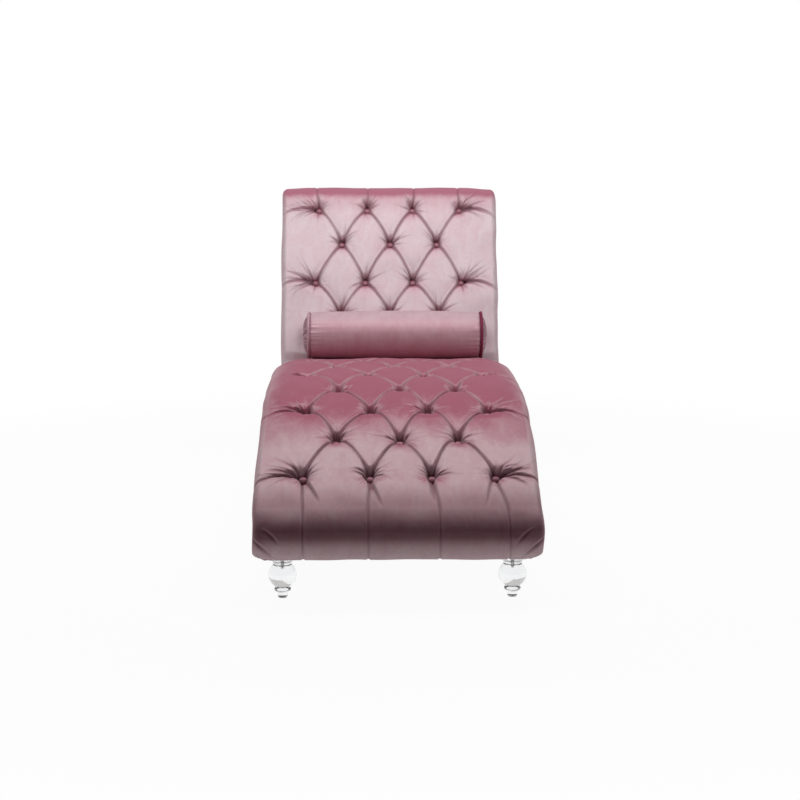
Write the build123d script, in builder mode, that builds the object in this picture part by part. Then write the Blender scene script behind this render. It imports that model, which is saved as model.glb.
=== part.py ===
from build123d import *
import math
import os

os.makedirs("parts", exist_ok=True)

# Stand and frame
foot_height = 100
dust_cover_thickness = 1
panel_thickness = 18
board_thickness = 22
board_depth = 100
rail_thickness = 22

# Side line, measured from the front-most point of the nose
front_face = 65
roll_radius = 52
nose_radius = 70
slope_angle = 29
slope_length = 195
knee_radius = 870
crest_length = 105
fall_radius = 1500
fall_angle = 13
hollow_radius = 800
tuck_length = 38
tuck_reach = 30
back_recline = 22
back_rise = 471
top_radius = 58
back_thickness = 116
rear_bend_at = 52
rear_radius = 300

# Upholstery layers, measured square to the crown line
cover_width = 635
cover_thickness = 40
foam_thickness = 25
webbing_thickness = 2
hem_thickness = 6
panel_cover_thickness = 4
side_puff = 0.5
rear_cover_thickness = 5
foam_foot = 12
toe_rise = 21
top_cap_rise = 25
top_cap_inset = 8

# Diamond tufting
tuft_spacing = 143.7
seat_row_pitch = 124
seat_first_row = 285
crease_row_gap = 60
back_row_pitch = 107
back_first_row = 127
top_row_gap = 15
dimple_depth = 30
pleat_depth = 22
crown_drop = 3
puff_drop = 5
flat_half = 11
front_flat_half = 6
crease_flat_half = 8
edge_round = 38
four_row_shoulder = 12
three_row_shoulder = 6
pleat_shoulder = 8
front_shoulder = 8
roll_shoulder = 9
button_diameter = 20
button_height = 9
button_edge = 4
tie_diameter = 2.4
tie_hole = 3
hole_overrun = 4
washer_diameter = 16
washer_thickness = 1.8
button_lift = 0.1
washer_gap = 0.15
trim_allowance = 1

# Strips of webbing
strap_width = 50
strap_gap = 0.1

# Feet and their hardware
foot_side_inset = 58.5
front_foot_y = 78
rear_foot_inset = 77
glide_height = 3
glide_inset = 1
stem_radius = 11
stem_top_radius = 12.5
stem_top = 13
ring_radius = 18.5
ring_top = 24
neck_radius = 13
ball_radius = 31
ball_middle = 49
ball_top = 74
throat_radius = 20.5
throat_sag = 2
flange_start = 88
flange_radius = 27
flange_chamfer = 2
bolt_diameter = 8
bolt_clearance = 0.4
bolt_depth_in_foot = 38
bolt_length = 57
insert_diameter = 12
insert_length = 20
insert_hole = 12.2

# Cross rails, placed along the seat or up the back
rail_drop = 10
rail_height = 70
nose_rail_height = 30
knee_rail_at = 740
middle_rail_at = 1060
seat_back_rail_at = 1440
rear_rail_height = 72
back_lower_rail_at = 20
back_rail_drop = 8
back_top_rail_height = 75
back_top_rail_thickness = 36
stretcher_height = 40

# Frame screws
screw_diameter = 4
screw_length = 47
screw_head_diameter = 8.5
screw_head_height = 3
screw_clearance = 0.3
pilot_depth = 34

# Loose bolster
bolster_radius = 70
bolster_end_radius = 66.5
bolster_half_length = 238
bolster_wall = 3
bolster_shift = 13
bolster_seat_sink = 3.4
bolster_back_sink = 4.7
piping_radius = 3.5
piping_ring_radius = 63.5
cap_rim = 3.7
cap_bulge = 12
cap_button_diameter = 20
cap_button_height = 5
fill_clearance = 0.3

body_floor = foot_height + dust_cover_thickness
nose_height = body_floor + roll_radius
foam_depth = cover_thickness + foam_thickness
deck_depth = foam_depth + webbing_thickness
hem_half = cover_width / 2 - side_puff
panel_face = hem_half - panel_cover_thickness
rail_half = panel_face - panel_thickness
foot_x = panel_face - foot_side_inset
half_spacing = tuft_spacing / 2
outer_x = 3 * half_spacing
edge_x = cover_width / 2 - edge_round
lean = math.radians(back_recline)

with BuildLine() as seat_line:
    hem = Line((front_face, body_floor), (roll_radius, body_floor))
    roll = JernArc(hem @ 1, hem % 1, roll_radius, -90)
    nose = JernArc(roll @ 1, roll % 1, nose_radius, slope_angle - 90)
    slope = PolarLine(nose @ 1, slope_length, direction=nose % 1)
    knee = JernArc(slope @ 1, slope % 1, knee_radius, -slope_angle)
    crest = PolarLine(knee @ 1, crest_length, direction=knee % 1)
    fall = JernArc(crest @ 1, crest % 1, fall_radius, -fall_angle)
    hollow = JernArc(fall @ 1, fall % 1, hollow_radius, fall_angle)
    tuck = PolarLine(hollow @ 1, tuck_length, direction=hollow % 1)
    reach = PolarLine(tuck @ 1, tuck_reach, direction=tuck % 1)

crease = tuck @ 1

with BuildLine() as back_line:
    rise = PolarLine(crease, back_rise, 90 - back_recline)
    top_roll = JernArc(rise @ 1, rise % 1, top_radius, -180)

seat_edges = [hem, roll, nose, slope, knee, crest, fall, hollow, tuck, reach]
back_edges = [rise, top_roll]
crease_along = sum(edge.length for edge in seat_edges) - tuck_reach
seat_rows = int((crease_along - crease_row_gap - seat_first_row) / seat_row_pitch) + 1
back_rows = int((back_rise - top_row_gap - back_first_row) / back_row_pitch) + 1
roll_centre = rise @ 1 + Vector(math.cos(lean), -math.sin(lean)) * top_radius
half_length = (roll_centre.X + top_radius) / 2


def back_point(along, depth):
    x = crease.X + along * math.sin(lean) + depth * math.cos(lean)
    y = crease.Y + along * math.cos(lean) - depth * math.sin(lean)
    return (x, y)


def side_plane(x):
    return Plane(origin=(x, -half_length, 0), x_dir=(0, 1, 0), z_dir=(1, 0, 0))


def cross_plane(edges, along):
    for edge in edges:
        if along <= edge.length or edge is edges[-1]:
            share = min(along / edge.length, 1)
            point = edge @ share
            heading = edge % share
            break
        along = along - edge.length
    return Plane(
        origin=(0, point.X - half_length, point.Y),
        x_dir=(1, 0, 0),
        z_dir=(0, -heading.X, -heading.Y),
    )


def seat_point(along, shift, depth):
    plane = cross_plane(seat_edges, along)
    spot = plane.from_local_coords((0, -depth, -shift))
    return (spot.Y + half_length, spot.Z)


def seat_layer(depth):
    corner = JernArc((depth, nose_height), (0, 1), nose_radius - depth, slope_angle - 90)
    ramp = PolarLine(corner @ 1, slope_length, direction=corner % 1)
    bend = JernArc(ramp @ 1, ramp % 1, knee_radius - depth, -slope_angle)
    top = PolarLine(bend @ 1, crest_length, direction=bend % 1)
    drop = JernArc(top @ 1, top % 1, fall_radius - depth, -fall_angle)
    dip = JernArc(drop @ 1, drop % 1, hollow_radius + depth, fall_angle)
    end = PolarLine(dip @ 1, tuck_length + tuck_reach, direction=dip % 1)
    return end @ 1


def rear_layer(depth):
    start = back_point(back_rise, depth)
    bend_start = back_point(rear_bend_at, depth)
    Line(start, bend_start)
    bend = JernArc(
        bend_start,
        (-math.sin(lean), -math.cos(lean)),
        rear_radius + back_thickness - depth,
        back_recline,
    )
    foot = ((bend @ 1).X, body_floor)
    Line(bend @ 1, foot)
    return foot


def arc_or_line(start, end, rise_height):
    if abs(rise_height) < 0.01:
        Line(start, end)
    else:
        SagittaArc(start, end, rise_height)


def dome_arc(tip, heading, radius, height, turn):
    ball = (radius**2 + height**2) / (2 * height)
    return JernArc(tip, heading, ball, turn * math.degrees(math.asin(radius / ball)))


def tuft_section(plane, kind, valley, crown, thickness, shoulder, flat):
    # One slice of padding: dips where the buttons or pleats are, crowns between them.
    side_gap = edge_x - outer_x
    if kind == 4:
        stops = [half_spacing - flat, half_spacing + flat, outer_x - flat, outer_x + flat]
        depths = [valley, valley, valley, valley]
        rises = [valley - crown, 0, valley - crown, 0, 0.1 * valley]
    elif kind == 3:
        stops = [flat, tuft_spacing - flat, tuft_spacing + flat, outer_x + side_gap / 2]
        depths = [valley, valley, valley, crown + 1]
        rises = [0, valley - crown, 0, 0.45 * valley, 1]
    else:
        stops = [half_spacing / 2, 1.5 * half_spacing, 2.5 * half_spacing, outer_x + side_gap / 3]
        depths = [valley, valley, valley, (valley + crown) / 2]
        rises = [valley - crown, valley - crown, valley - crown, 0.35 * valley, 0.12 * valley]
    right = [(x, -depth) for x, depth in zip(stops, depths)] + [(edge_x, -shoulder)]
    left = [(-x, y) for x, y in reversed(right)]
    points = left + right
    heights = rises[:0:-1] + rises
    side_rise = 0.4 * (thickness - shoulder)
    with BuildSketch(plane) as section:
        with BuildLine():
            SagittaArc((-hem_half, -thickness), points[0], side_rise)
            for start, end, height in zip(points, points[1:], heights):
                arc_or_line(start, end, height)
            SagittaArc(points[-1], (hem_half, -thickness), side_rise)
            Line((hem_half, -thickness), (-hem_half, -thickness))
        make_face()
    return section.sketch


def row_sections(edges, first, pitch, count, first_kind, thickness):
    slices = []
    for row in range(count):
        kind = first_kind if row % 2 == 0 else 7 - first_kind
        shoulder = four_row_shoulder if kind == 4 else three_row_shoulder
        for along in (first + row * pitch - flat_half, first + row * pitch + flat_half):
            plane = cross_plane(edges, along)
            slices.append(tuft_section(plane, kind, dimple_depth, crown_drop, thickness, shoulder, flat_half))
        if row < count - 1:
            plane = cross_plane(edges, first + (row + 0.5) * pitch)
            slices.append(tuft_section(plane, 0, pleat_depth, puff_drop, thickness, pleat_shoulder, flat_half))
    return slices


def button_places(edges, first, pitch, count, first_kind):
    places = []
    for row in range(count):
        kind = first_kind if row % 2 == 0 else 7 - first_kind
        plane = cross_plane(edges, first + row * pitch)
        for index in range(kind):
            x = (index - (kind - 1) / 2) * tuft_spacing
            spot = plane.from_local_coords((x, button_lift - dimple_depth, 0))
            places.append(Plane(origin=spot, x_dir=(1, 0, 0), z_dir=plane.y_dir).location)
    return places


seat_places = button_places(seat_edges, seat_first_row, seat_row_pitch, seat_rows, 4)
back_places = button_places(back_edges, back_first_row, back_row_pitch, back_rows, 3)

# Tufted cover of the seat, from the hem under the nose to the crease
rough_thickness = cover_thickness + trim_allowance
thickening = cover_thickness - hem_thickness
front_slices = []
nose_start = hem.length + roll.length
slope_start = nose_start + nose.length
for along, valley, thickness in (
    (0, 1, hem_thickness),
    (hem.length, 1, hem_thickness),
    (hem.length + roll.length * 0.25, 2, hem_thickness + thickening * 0.25),
    (hem.length + roll.length * 0.5, 3, hem_thickness + thickening * 0.5),
    (hem.length + roll.length * 0.75, 4, hem_thickness + thickening * 0.75),
    (nose_start, 5, cover_thickness),
    (nose_start + nose.length * 0.33, 6, rough_thickness),
    (nose_start + nose.length * 0.67, 7, rough_thickness),
    (slope_start, 9, rough_thickness),
    (slope_start + (seat_first_row - slope_start) * 0.5, 15, rough_thickness),
):
    plane = cross_plane(seat_edges, along)
    shoulder = min(front_shoulder, 0.25 * thickness)
    front_slices.append(tuft_section(plane, 4, valley, 0.2 * valley, thickness, shoulder, front_flat_half))

crease_slices = []
for along, valley, crown, shoulder in (
    (crease_along - 36, 21, 5, 10),
    (crease_along - 13, 21, 12, 17),
    (crease_along, 25, 21, 27),
    (crease_along + tuck_reach, 27, 25, 29),
):
    plane = cross_plane(seat_edges, along)
    crease_slices.append(tuft_section(plane, 3, valley, crown, rough_thickness, shoulder, crease_flat_half))

with BuildPart() as seat_cover:
    loft(
        sections=front_slices
        + row_sections(seat_edges, seat_first_row, seat_row_pitch, seat_rows, 4, rough_thickness)
        + crease_slices,
        ruled=True,
    )
    with BuildSketch(side_plane(-cover_width)):
        with BuildLine():
            trim_end = seat_layer(cover_thickness)
            Line(trim_end, (trim_end.X, crease.Y - foam_depth))
            seat_layer(foam_depth)
            Line((foam_depth, nose_height), (cover_thickness, nose_height))
        make_face()
    extrude(amount=2 * cover_width, mode=Mode.SUBTRACT)
    with Locations(*seat_places):
        Cylinder(tie_hole / 2, 2 * (cover_thickness - dimple_depth) + hole_overrun, mode=Mode.SUBTRACT)
seat_cover.part.label = "seat_cover"
export_step(seat_cover.part, "parts/seat_cover.step")

# Tufted cover of the back, from the crease over the top roll
lower_slices = []
for along, valley, crown, shoulder in (
    (1, 26, 22, 27),
    (14, 21, 12, 17),
    (50, 21, 5, 10),
):
    plane = cross_plane(back_edges, along)
    lower_slices.append(tuft_section(plane, 3, valley, crown, cover_thickness, shoulder, crease_flat_half))

roll_slices = []
for share, valley, thickness in (
    (0, 14, cover_thickness),
    (1 / 6, 9, 38),
    (2 / 6, 7, 34),
    (3 / 6, 6, 30),
    (4 / 6, 4, 24),
    (5 / 6, 2, 15),
    (1, 1, rear_cover_thickness),
):
    plane = cross_plane(back_edges, back_rise + top_roll.length * share)
    shoulder = min(roll_shoulder, 0.25 * thickness)
    roll_slices.append(tuft_section(plane, 4, valley, 0.2 * valley, thickness, shoulder, front_flat_half))

with BuildPart() as back_cover:
    loft(
        sections=lower_slices
        + row_sections(back_edges, back_first_row, back_row_pitch, back_rows, 3, cover_thickness)
        + roll_slices,
        ruled=True,
    )
    with Locations(*back_places):
        Cylinder(tie_hole / 2, 2 * (cover_thickness - dimple_depth) + hole_overrun, mode=Mode.SUBTRACT)
back_cover.part.label = "back_cover"
export_step(back_cover.part, "parts/back_cover.step")

# Covered buttons and the ties that draw them down
with BuildPart() as button:
    with BuildSketch(Plane.XZ):
        with BuildLine():
            dome = dome_arc((0, button_height), (1, 0), button_diameter / 2, button_height - button_edge, -1)
            Polyline(dome @ 1, (button_diameter / 2, 0), (0, 0), (0, button_height))
        make_face()
    revolve(axis=Axis.Z)

with BuildPart() as seat_buttons:
    with Locations(*seat_places):
        add(button.part)
seat_buttons.part.label = "seat_buttons"
export_step(seat_buttons.part, "parts/seat_buttons.step")

with BuildPart() as back_buttons:
    with Locations(*back_places):
        add(button.part)
back_buttons.part.label = "back_buttons"
export_step(back_buttons.part, "parts/back_buttons.step")

tie_length = foam_depth - dimple_depth + button_lift + washer_gap
with BuildPart() as tie:
    Cylinder(tie_diameter / 2, tie_length, align=(Align.CENTER, Align.CENTER, Align.MAX))
    with Locations((0, 0, -tie_length)):
        Cylinder(washer_diameter / 2, washer_thickness, align=(Align.CENTER, Align.CENTER, Align.MAX))

with BuildPart() as seat_ties:
    with Locations(*seat_places):
        add(tie.part)
seat_ties.part.label = "seat_ties"
export_step(seat_ties.part, "parts/seat_ties.step")

with BuildPart() as back_ties:
    with Locations(*back_places):
        add(tie.part)
back_ties.part.label = "back_ties"
export_step(back_ties.part, "parts/back_ties.step")

# Foam under the covers
with BuildPart() as seat_foam:
    with BuildSketch(side_plane(-panel_face)):
        with BuildLine():
            Line((cover_thickness, body_floor + toe_rise), (cover_thickness, nose_height))
            upper_end = seat_layer(cover_thickness)
            Line(upper_end, (upper_end.X, crease.Y - foam_depth))
            seat_layer(foam_depth)
            Line((foam_depth, nose_height), (foam_depth, body_floor + toe_rise))
            Line((foam_depth, body_floor + toe_rise), (cover_thickness, body_floor + toe_rise))
        make_face()
    extrude(amount=2 * panel_face)
    with Locations(*seat_places):
        Cylinder(tie_hole / 2, 2 * tie_length + hole_overrun, mode=Mode.SUBTRACT)
seat_foam.part.label = "seat_foam"
export_step(seat_foam.part, "parts/seat_foam.step")

with BuildPart() as back_foam:
    with BuildSketch(side_plane(-panel_face)):
        with BuildLine():
            Polyline(
                back_point(foam_foot, cover_thickness),
                back_point(back_rise, cover_thickness),
                back_point(back_rise, foam_depth),
                back_point(foam_foot, foam_depth),
                close=True,
            )
        make_face()
    extrude(amount=2 * panel_face)
    with Locations(*back_places):
        Cylinder(tie_hole / 2, 2 * tie_length + hole_overrun, mode=Mode.SUBTRACT)
back_foam.part.label = "back_foam"
export_step(back_foam.part, "parts/back_foam.step")

# Webbing stretched across the side panels, one strip between each two rows of buttons
with BuildPart() as seat_webbing:
    with BuildSketch(side_plane(-panel_face)):
        with BuildLine():
            first_end = seat_layer(foam_depth + strap_gap)
            Line(first_end, (first_end.X, crease.Y - deck_depth))
            seat_layer(deck_depth)
            Line((deck_depth, nose_height), (foam_depth + strap_gap, nose_height))
        make_face()
    extrude(amount=2 * panel_face)
    for row in range(seat_rows):
        plane = cross_plane(seat_edges, seat_first_row + row * seat_row_pitch)
        gap = seat_row_pitch - strap_width
        with Locations(Plane(origin=plane.origin, x_dir=(1, 0, 0), z_dir=plane.y_dir).location):
            Box(2 * cover_width, gap, 3 * deck_depth, mode=Mode.SUBTRACT)
    first_plane = cross_plane(seat_edges, seat_first_row - seat_row_pitch / 2 - strap_width / 2)
    with Locations(Plane(origin=first_plane.origin, x_dir=(1, 0, 0), z_dir=first_plane.y_dir).location):
        Box(
            2 * cover_width,
            3 * deck_depth,
            3 * deck_depth,
            align=(Align.CENTER, Align.MAX, Align.CENTER),
            mode=Mode.SUBTRACT,
        )
seat_webbing.part.label = "seat_webbing"
export_step(seat_webbing.part, "parts/seat_webbing.step")

with BuildPart() as back_webbing:
    for strap in range(back_rows):
        middle = back_first_row + (strap - 0.5) * back_row_pitch
        with BuildSketch(side_plane(-panel_face)):
            with BuildLine():
                Polyline(
                    back_point(middle - strap_width / 2, foam_depth),
                    back_point(middle + strap_width / 2, foam_depth),
                    back_point(middle + strap_width / 2, deck_depth),
                    back_point(middle - strap_width / 2, deck_depth),
                    close=True,
                )
            make_face()
        extrude(amount=2 * panel_face)
back_webbing.part.label = "back_webbing"
export_step(back_webbing.part, "parts/back_webbing.step")

# Shaped side panels and the rails between them
with BuildLine():
    rear_inner = rear_layer(back_thickness - rear_cover_thickness)[0]
    rear_outer = rear_layer(back_thickness)[0]

corner_along = (crease.Y - deck_depth - back_point(0, deck_depth)[1]) / math.cos(lean)
board_top = body_floor + board_thickness
deck_back = deck_depth + back_rail_drop
rear_face = back_thickness - rear_cover_thickness


def seat_rail_corners(along):
    top = deck_depth + rail_drop
    return [
        seat_point(along, -rail_thickness / 2, top),
        seat_point(along, rail_thickness / 2, top),
        seat_point(along, rail_thickness / 2, top + rail_height),
        seat_point(along, -rail_thickness / 2, top + rail_height),
    ]


def box_corners(y0, y1, z0, z1):
    return [(y0, z0), (y1, z0), (y1, z1), (y0, z1)]


def back_corners(t0, t1, d0, d1):
    return [back_point(t0, d0), back_point(t1, d0), back_point(t1, d1), back_point(t0, d1)]


def screw_spots(corners):
    # Two screws, on the line through the middle of the longer way of the rail.
    a, b, c, d = [Vector(*corner) for corner in corners]
    if (b - a).length < (d - a).length:
        near, far = (a + b) / 2, (d + c) / 2
    else:
        near, far = (a + d) / 2, (b + c) / 2
    return [near * 0.74 + far * 0.26, near * 0.26 + far * 0.74]


back_top_start = back_rise - back_top_rail_height
rails = {
    "front_foot_board": box_corners(front_face, front_face + board_depth, body_floor, board_top),
    "rear_foot_board": box_corners(rear_inner - board_depth, rear_inner, body_floor, board_top),
    "nose_rail": box_corners(front_face, front_face + rail_thickness, board_top, board_top + nose_rail_height),
    "knee_rail": seat_rail_corners(knee_rail_at),
    "middle_rail": seat_rail_corners(middle_rail_at),
    "seat_back_rail": seat_rail_corners(seat_back_rail_at),
    "rear_rail": box_corners(rear_inner - rail_thickness, rear_inner, board_top, board_top + rear_rail_height),
    "back_lower_rail": back_corners(
        back_lower_rail_at, back_lower_rail_at + rail_height, deck_back, deck_back + rail_thickness
    ),
    "back_top_rail": back_corners(
        back_top_start, back_rise, rear_face - back_top_rail_thickness, rear_face
    ),
}
foot_spots = [
    (-foot_x, front_foot_y - half_length),
    (foot_x, front_foot_y - half_length),
    (-foot_x, rear_outer - rear_foot_inset - half_length),
    (foot_x, rear_outer - rear_foot_inset - half_length),
]
frame_spots = [spot for corners in rails.values() for spot in screw_spots(corners)]

for name, corners in rails.items():
    with BuildPart() as rail:
        with BuildSketch(side_plane(-rail_half)):
            with BuildLine():
                Polyline(*corners, close=True)
            make_face()
        extrude(amount=2 * rail_half)
        with BuildSketch(side_plane(-rail_half)):
            with Locations(*screw_spots(corners)):
                Circle(screw_diameter / 2 + screw_clearance)
        extrude(amount=pilot_depth, mode=Mode.SUBTRACT)
        with BuildSketch(side_plane(rail_half)):
            with Locations(*screw_spots(corners)):
                Circle(screw_diameter / 2 + screw_clearance)
        extrude(amount=-pilot_depth, mode=Mode.SUBTRACT)
        if name.endswith("foot_board"):
            with Locations(*[(x, y, body_floor) for x, y in foot_spots]):
                Cylinder(insert_hole / 2, 3 * board_thickness, mode=Mode.SUBTRACT)
    rail.part.label = name
    export_step(rail.part, f"parts/{name}.step")

with BuildPart() as centre_stretcher:
    with BuildSketch(Plane.XY.offset(body_floor)):
        front_end = front_face + board_depth - half_length
        rear_end = rear_inner - board_depth - half_length
        with Locations((0, (front_end + rear_end) / 2)):
            Rectangle(rail_thickness, rear_end - front_end)
    extrude(amount=stretcher_height)
centre_stretcher.part.label = "centre_stretcher"
export_step(centre_stretcher.part, "parts/centre_stretcher.step")

for name, side in (("left_side_panel", -1), ("right_side_panel", 1)):
    with BuildPart() as panel:
        with BuildSketch(side_plane(side * rail_half)):
            with BuildLine():
                Line((front_face, body_floor), (front_face, nose_height))
                Line((front_face, nose_height), (deck_depth, nose_height))
                seat_end = seat_layer(deck_depth)
                Line(seat_end, back_point(corner_along, deck_depth))
                Line(back_point(corner_along, deck_depth), back_point(back_rise, deck_depth))
                Line(back_point(back_rise, deck_depth), back_point(back_rise, rear_face))
                rear_foot = rear_layer(rear_face)
                Line(rear_foot, (front_face, body_floor))
            make_face()
        extrude(amount=side * panel_thickness)
        with BuildSketch(side_plane(side * rail_half)):
            with Locations(*frame_spots):
                Circle(screw_diameter / 2 + screw_clearance)
        extrude(amount=side * panel_thickness, mode=Mode.SUBTRACT)
        with BuildSketch(side_plane(side * panel_face)):
            with Locations(*frame_spots):
                Circle(screw_head_diameter / 2 + screw_clearance)
        extrude(amount=-side * screw_head_height, mode=Mode.SUBTRACT)
    panel.part.label = name
    export_step(panel.part, f"parts/{name}.step")

with BuildPart() as frame_screws:
    for side in (-1, 1):
        with BuildSketch(side_plane(side * panel_face)):
            with Locations(*frame_spots):
                Circle(screw_head_diameter / 2)
        extrude(amount=-side * screw_head_height)
        with BuildSketch(side_plane(side * panel_face)):
            with Locations(*frame_spots):
                Circle(screw_diameter / 2)
        extrude(amount=-side * screw_length)
frame_screws.part.label = "frame_screws"
export_step(frame_screws.part, "parts/frame_screws.step")

# Plain velvet panels on the sides and the outside of the back
cap_end = rear_face - top_cap_inset
cap_middle = back_point(back_rise + top_cap_rise, (cover_thickness + cap_end) / 2)
for name, side in (("left_side_cover", -1), ("right_side_cover", 1)):
    with BuildPart() as side_cover:
        with BuildSketch(side_plane(side * panel_face)):
            with BuildLine():
                Line((front_face, body_floor), (front_face, body_floor + toe_rise))
                Line((front_face, body_floor + toe_rise), (cover_thickness, body_floor + toe_rise))
                Line((cover_thickness, body_floor + toe_rise), (cover_thickness, nose_height))
                seam_end = seat_layer(cover_thickness)
                Line(seam_end, back_point(0, cover_thickness))
                Line(back_point(0, cover_thickness), back_point(back_rise, cover_thickness))
                ThreePointArc(back_point(back_rise, cover_thickness), cap_middle, back_point(back_rise, cap_end))
                Line(back_point(back_rise, cap_end), back_point(back_rise, back_thickness))
                hem_foot = rear_layer(back_thickness)
                Line(hem_foot, (front_face, body_floor))
            make_face()
        extrude(amount=side * panel_cover_thickness)
    side_cover.part.label = name
    export_step(side_cover.part, f"parts/{name}.step")

with BuildPart() as outside_back_cover:
    with BuildSketch(side_plane(-panel_face)):
        with BuildLine():
            inner_foot = rear_layer(rear_face)
            outer_foot = rear_layer(back_thickness)
            Line(inner_foot, outer_foot)
            Line(back_point(back_rise, rear_face), back_point(back_rise, back_thickness))
        make_face()
    extrude(amount=2 * panel_face)
outside_back_cover.part.label = "outside_back_cover"
export_step(outside_back_cover.part, "parts/outside_back_cover.step")

with BuildPart() as dust_cover:
    with BuildSketch(Plane.XY.offset(foot_height)):
        with Locations((0, (front_face + rear_outer) / 2 - half_length)):
            Rectangle(2 * panel_face, rear_outer - front_face)
        with Locations(*foot_spots):
            Circle(insert_hole / 2, mode=Mode.SUBTRACT)
    extrude(amount=dust_cover_thickness)
dust_cover.part.label = "dust_cover"
export_step(dust_cover.part, "parts/dust_cover.step")

# Turned clear feet with their bolts, threaded inserts and glides
with BuildPart() as foot:
    with BuildSketch(Plane.XZ):
        with BuildLine():
            Polyline((0, glide_height), (stem_radius, glide_height), (stem_top_radius, stem_top))
            ThreePointArc(
                (stem_top_radius, stem_top),
                (ring_radius, (stem_top + ring_top) / 2),
                (neck_radius, ring_top),
            )
            ThreePointArc((neck_radius, ring_top), (ball_radius, ball_middle), (throat_radius, ball_top))
            SagittaArc((throat_radius, ball_top), (flange_radius, flange_start), throat_sag)
            Polyline(
                (flange_radius, flange_start),
                (flange_radius, foot_height - flange_chamfer),
                (flange_radius - flange_chamfer, foot_height),
                (0, foot_height),
                (0, glide_height),
            )
        make_face()
    revolve(axis=Axis.Z)
    with Locations((0, 0, foot_height)):
        Cylinder((bolt_diameter + bolt_clearance) / 2, 2 * (bolt_depth_in_foot + 1), mode=Mode.SUBTRACT)

foot_names = ("front_left_foot", "front_right_foot", "rear_left_foot", "rear_right_foot")
for name, (x, y) in zip(foot_names, foot_spots):
    with BuildPart() as placed_foot:
        with Locations((x, y, 0)):
            add(foot.part)
    placed_foot.part.label = name
    export_step(placed_foot.part, f"parts/{name}.step")

with BuildPart() as hanger_bolts:
    with Locations(*[(x, y, foot_height - bolt_depth_in_foot) for x, y in foot_spots]):
        Cylinder(bolt_diameter / 2, bolt_length, align=(Align.CENTER, Align.CENTER, Align.MIN))
hanger_bolts.part.label = "hanger_bolts"
export_step(hanger_bolts.part, "parts/hanger_bolts.step")

with BuildPart() as foot_inserts:
    with Locations(*[(x, y, body_floor) for x, y in foot_spots]):
        Cylinder(insert_diameter / 2, insert_length, align=(Align.CENTER, Align.CENTER, Align.MIN))
        Cylinder((bolt_diameter + bolt_clearance) / 2, 3 * insert_length, mode=Mode.SUBTRACT)
foot_inserts.part.label = "foot_inserts"
export_step(foot_inserts.part, "parts/foot_inserts.step")

with BuildPart() as foot_glides:
    with Locations(*[(x, y, 0) for x, y in foot_spots]):
        Cylinder(stem_radius - glide_inset, glide_height, align=(Align.CENTER, Align.CENTER, Align.MIN))
foot_glides.part.label = "foot_glides"
export_step(foot_glides.part, "parts/foot_glides.step")

# Loose bolster lying on the seat against the back
seat_rest = bolster_radius - bolster_seat_sink
back_rest = bolster_radius - bolster_back_sink
bolster_y = crease.X - (back_rest - seat_rest * math.sin(lean)) / math.cos(lean) - half_length
bolster_z = crease.Y + seat_rest
bolster_axis = Axis((bolster_shift, bolster_y, bolster_z), (1, 0, 0))
bolster_plane = Plane(origin=(bolster_shift, bolster_y, bolster_z), x_dir=(1, 0, 0), z_dir=(0, -1, 0))
inner_radius = bolster_radius - bolster_wall
inner_end = bolster_end_radius - bolster_wall

with BuildPart() as bolster_cover:
    with BuildSketch(bolster_plane):
        with BuildLine():
            ThreePointArc(
                (-bolster_half_length, bolster_end_radius),
                (0, bolster_radius),
                (bolster_half_length, bolster_end_radius),
            )
            Line((bolster_half_length, bolster_end_radius), (bolster_half_length, inner_end))
            ThreePointArc((bolster_half_length, inner_end), (0, inner_radius), (-bolster_half_length, inner_end))
            Line((-bolster_half_length, inner_end), (-bolster_half_length, bolster_end_radius))
        make_face()
    revolve(axis=bolster_axis)
bolster_cover.part.label = "bolster_cover"
export_step(bolster_cover.part, "parts/bolster_cover.step")

fill_half = bolster_half_length - fill_clearance
fill_radius = inner_radius - fill_clearance
fill_end = inner_end - fill_clearance
with BuildPart() as bolster_fill:
    with BuildSketch(bolster_plane):
        with BuildLine():
            ThreePointArc((-fill_half, fill_end), (0, fill_radius), (fill_half, fill_end))
            Polyline((fill_half, fill_end), (fill_half, 0), (-fill_half, 0), (-fill_half, fill_end))
        make_face()
    revolve(axis=bolster_axis)
bolster_fill.part.label = "bolster_fill"
export_step(bolster_fill.part, "parts/bolster_fill.step")

cap_radius = piping_ring_radius - piping_radius - fill_clearance
for name, side in (("bolster_left", -1), ("bolster_right", 1)):
    with BuildPart() as piping:
        with BuildSketch(bolster_plane):
            with Locations((side * (bolster_half_length + piping_radius), piping_ring_radius)):
                Circle(piping_radius)
        revolve(axis=bolster_axis)
    piping.part.label = f"{name}_piping"
    export_step(piping.part, f"parts/{name}_piping.step")

    cap_start = side * bolster_half_length
    cap_tip = side * (bolster_half_length + cap_bulge)
    with BuildPart() as cap:
        with BuildSketch(bolster_plane):
            with BuildLine():
                dome = dome_arc((cap_tip, 0), (0, 1), cap_radius, cap_bulge - cap_rim, side)
                Polyline(dome @ 1, (cap_start, cap_radius), (cap_start, 0), (cap_tip, 0))
            make_face()
        revolve(axis=bolster_axis)
    cap.part.label = f"{name}_cap"
    export_step(cap.part, f"parts/{name}_cap.step")

with BuildPart() as bolster_cap_buttons:
    for side in (-1, 1):
        tip = side * (bolster_half_length + cap_bulge)
        with BuildSketch(bolster_plane):
            with BuildLine():
                top = (tip + side * cap_button_height, 0)
                dome = dome_arc(top, (0, 1), cap_button_diameter / 2, cap_button_height, side)
                Polyline(dome @ 1, (tip, 0), top)
            make_face()
        revolve(axis=bolster_axis)
bolster_cap_buttons.part.label = "bolster_cap_buttons"
export_step(bolster_cap_buttons.part, "parts/bolster_cap_buttons.step")
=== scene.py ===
import math

import bpy
import bmesh
import numpy as np
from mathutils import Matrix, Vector, geometry


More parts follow.
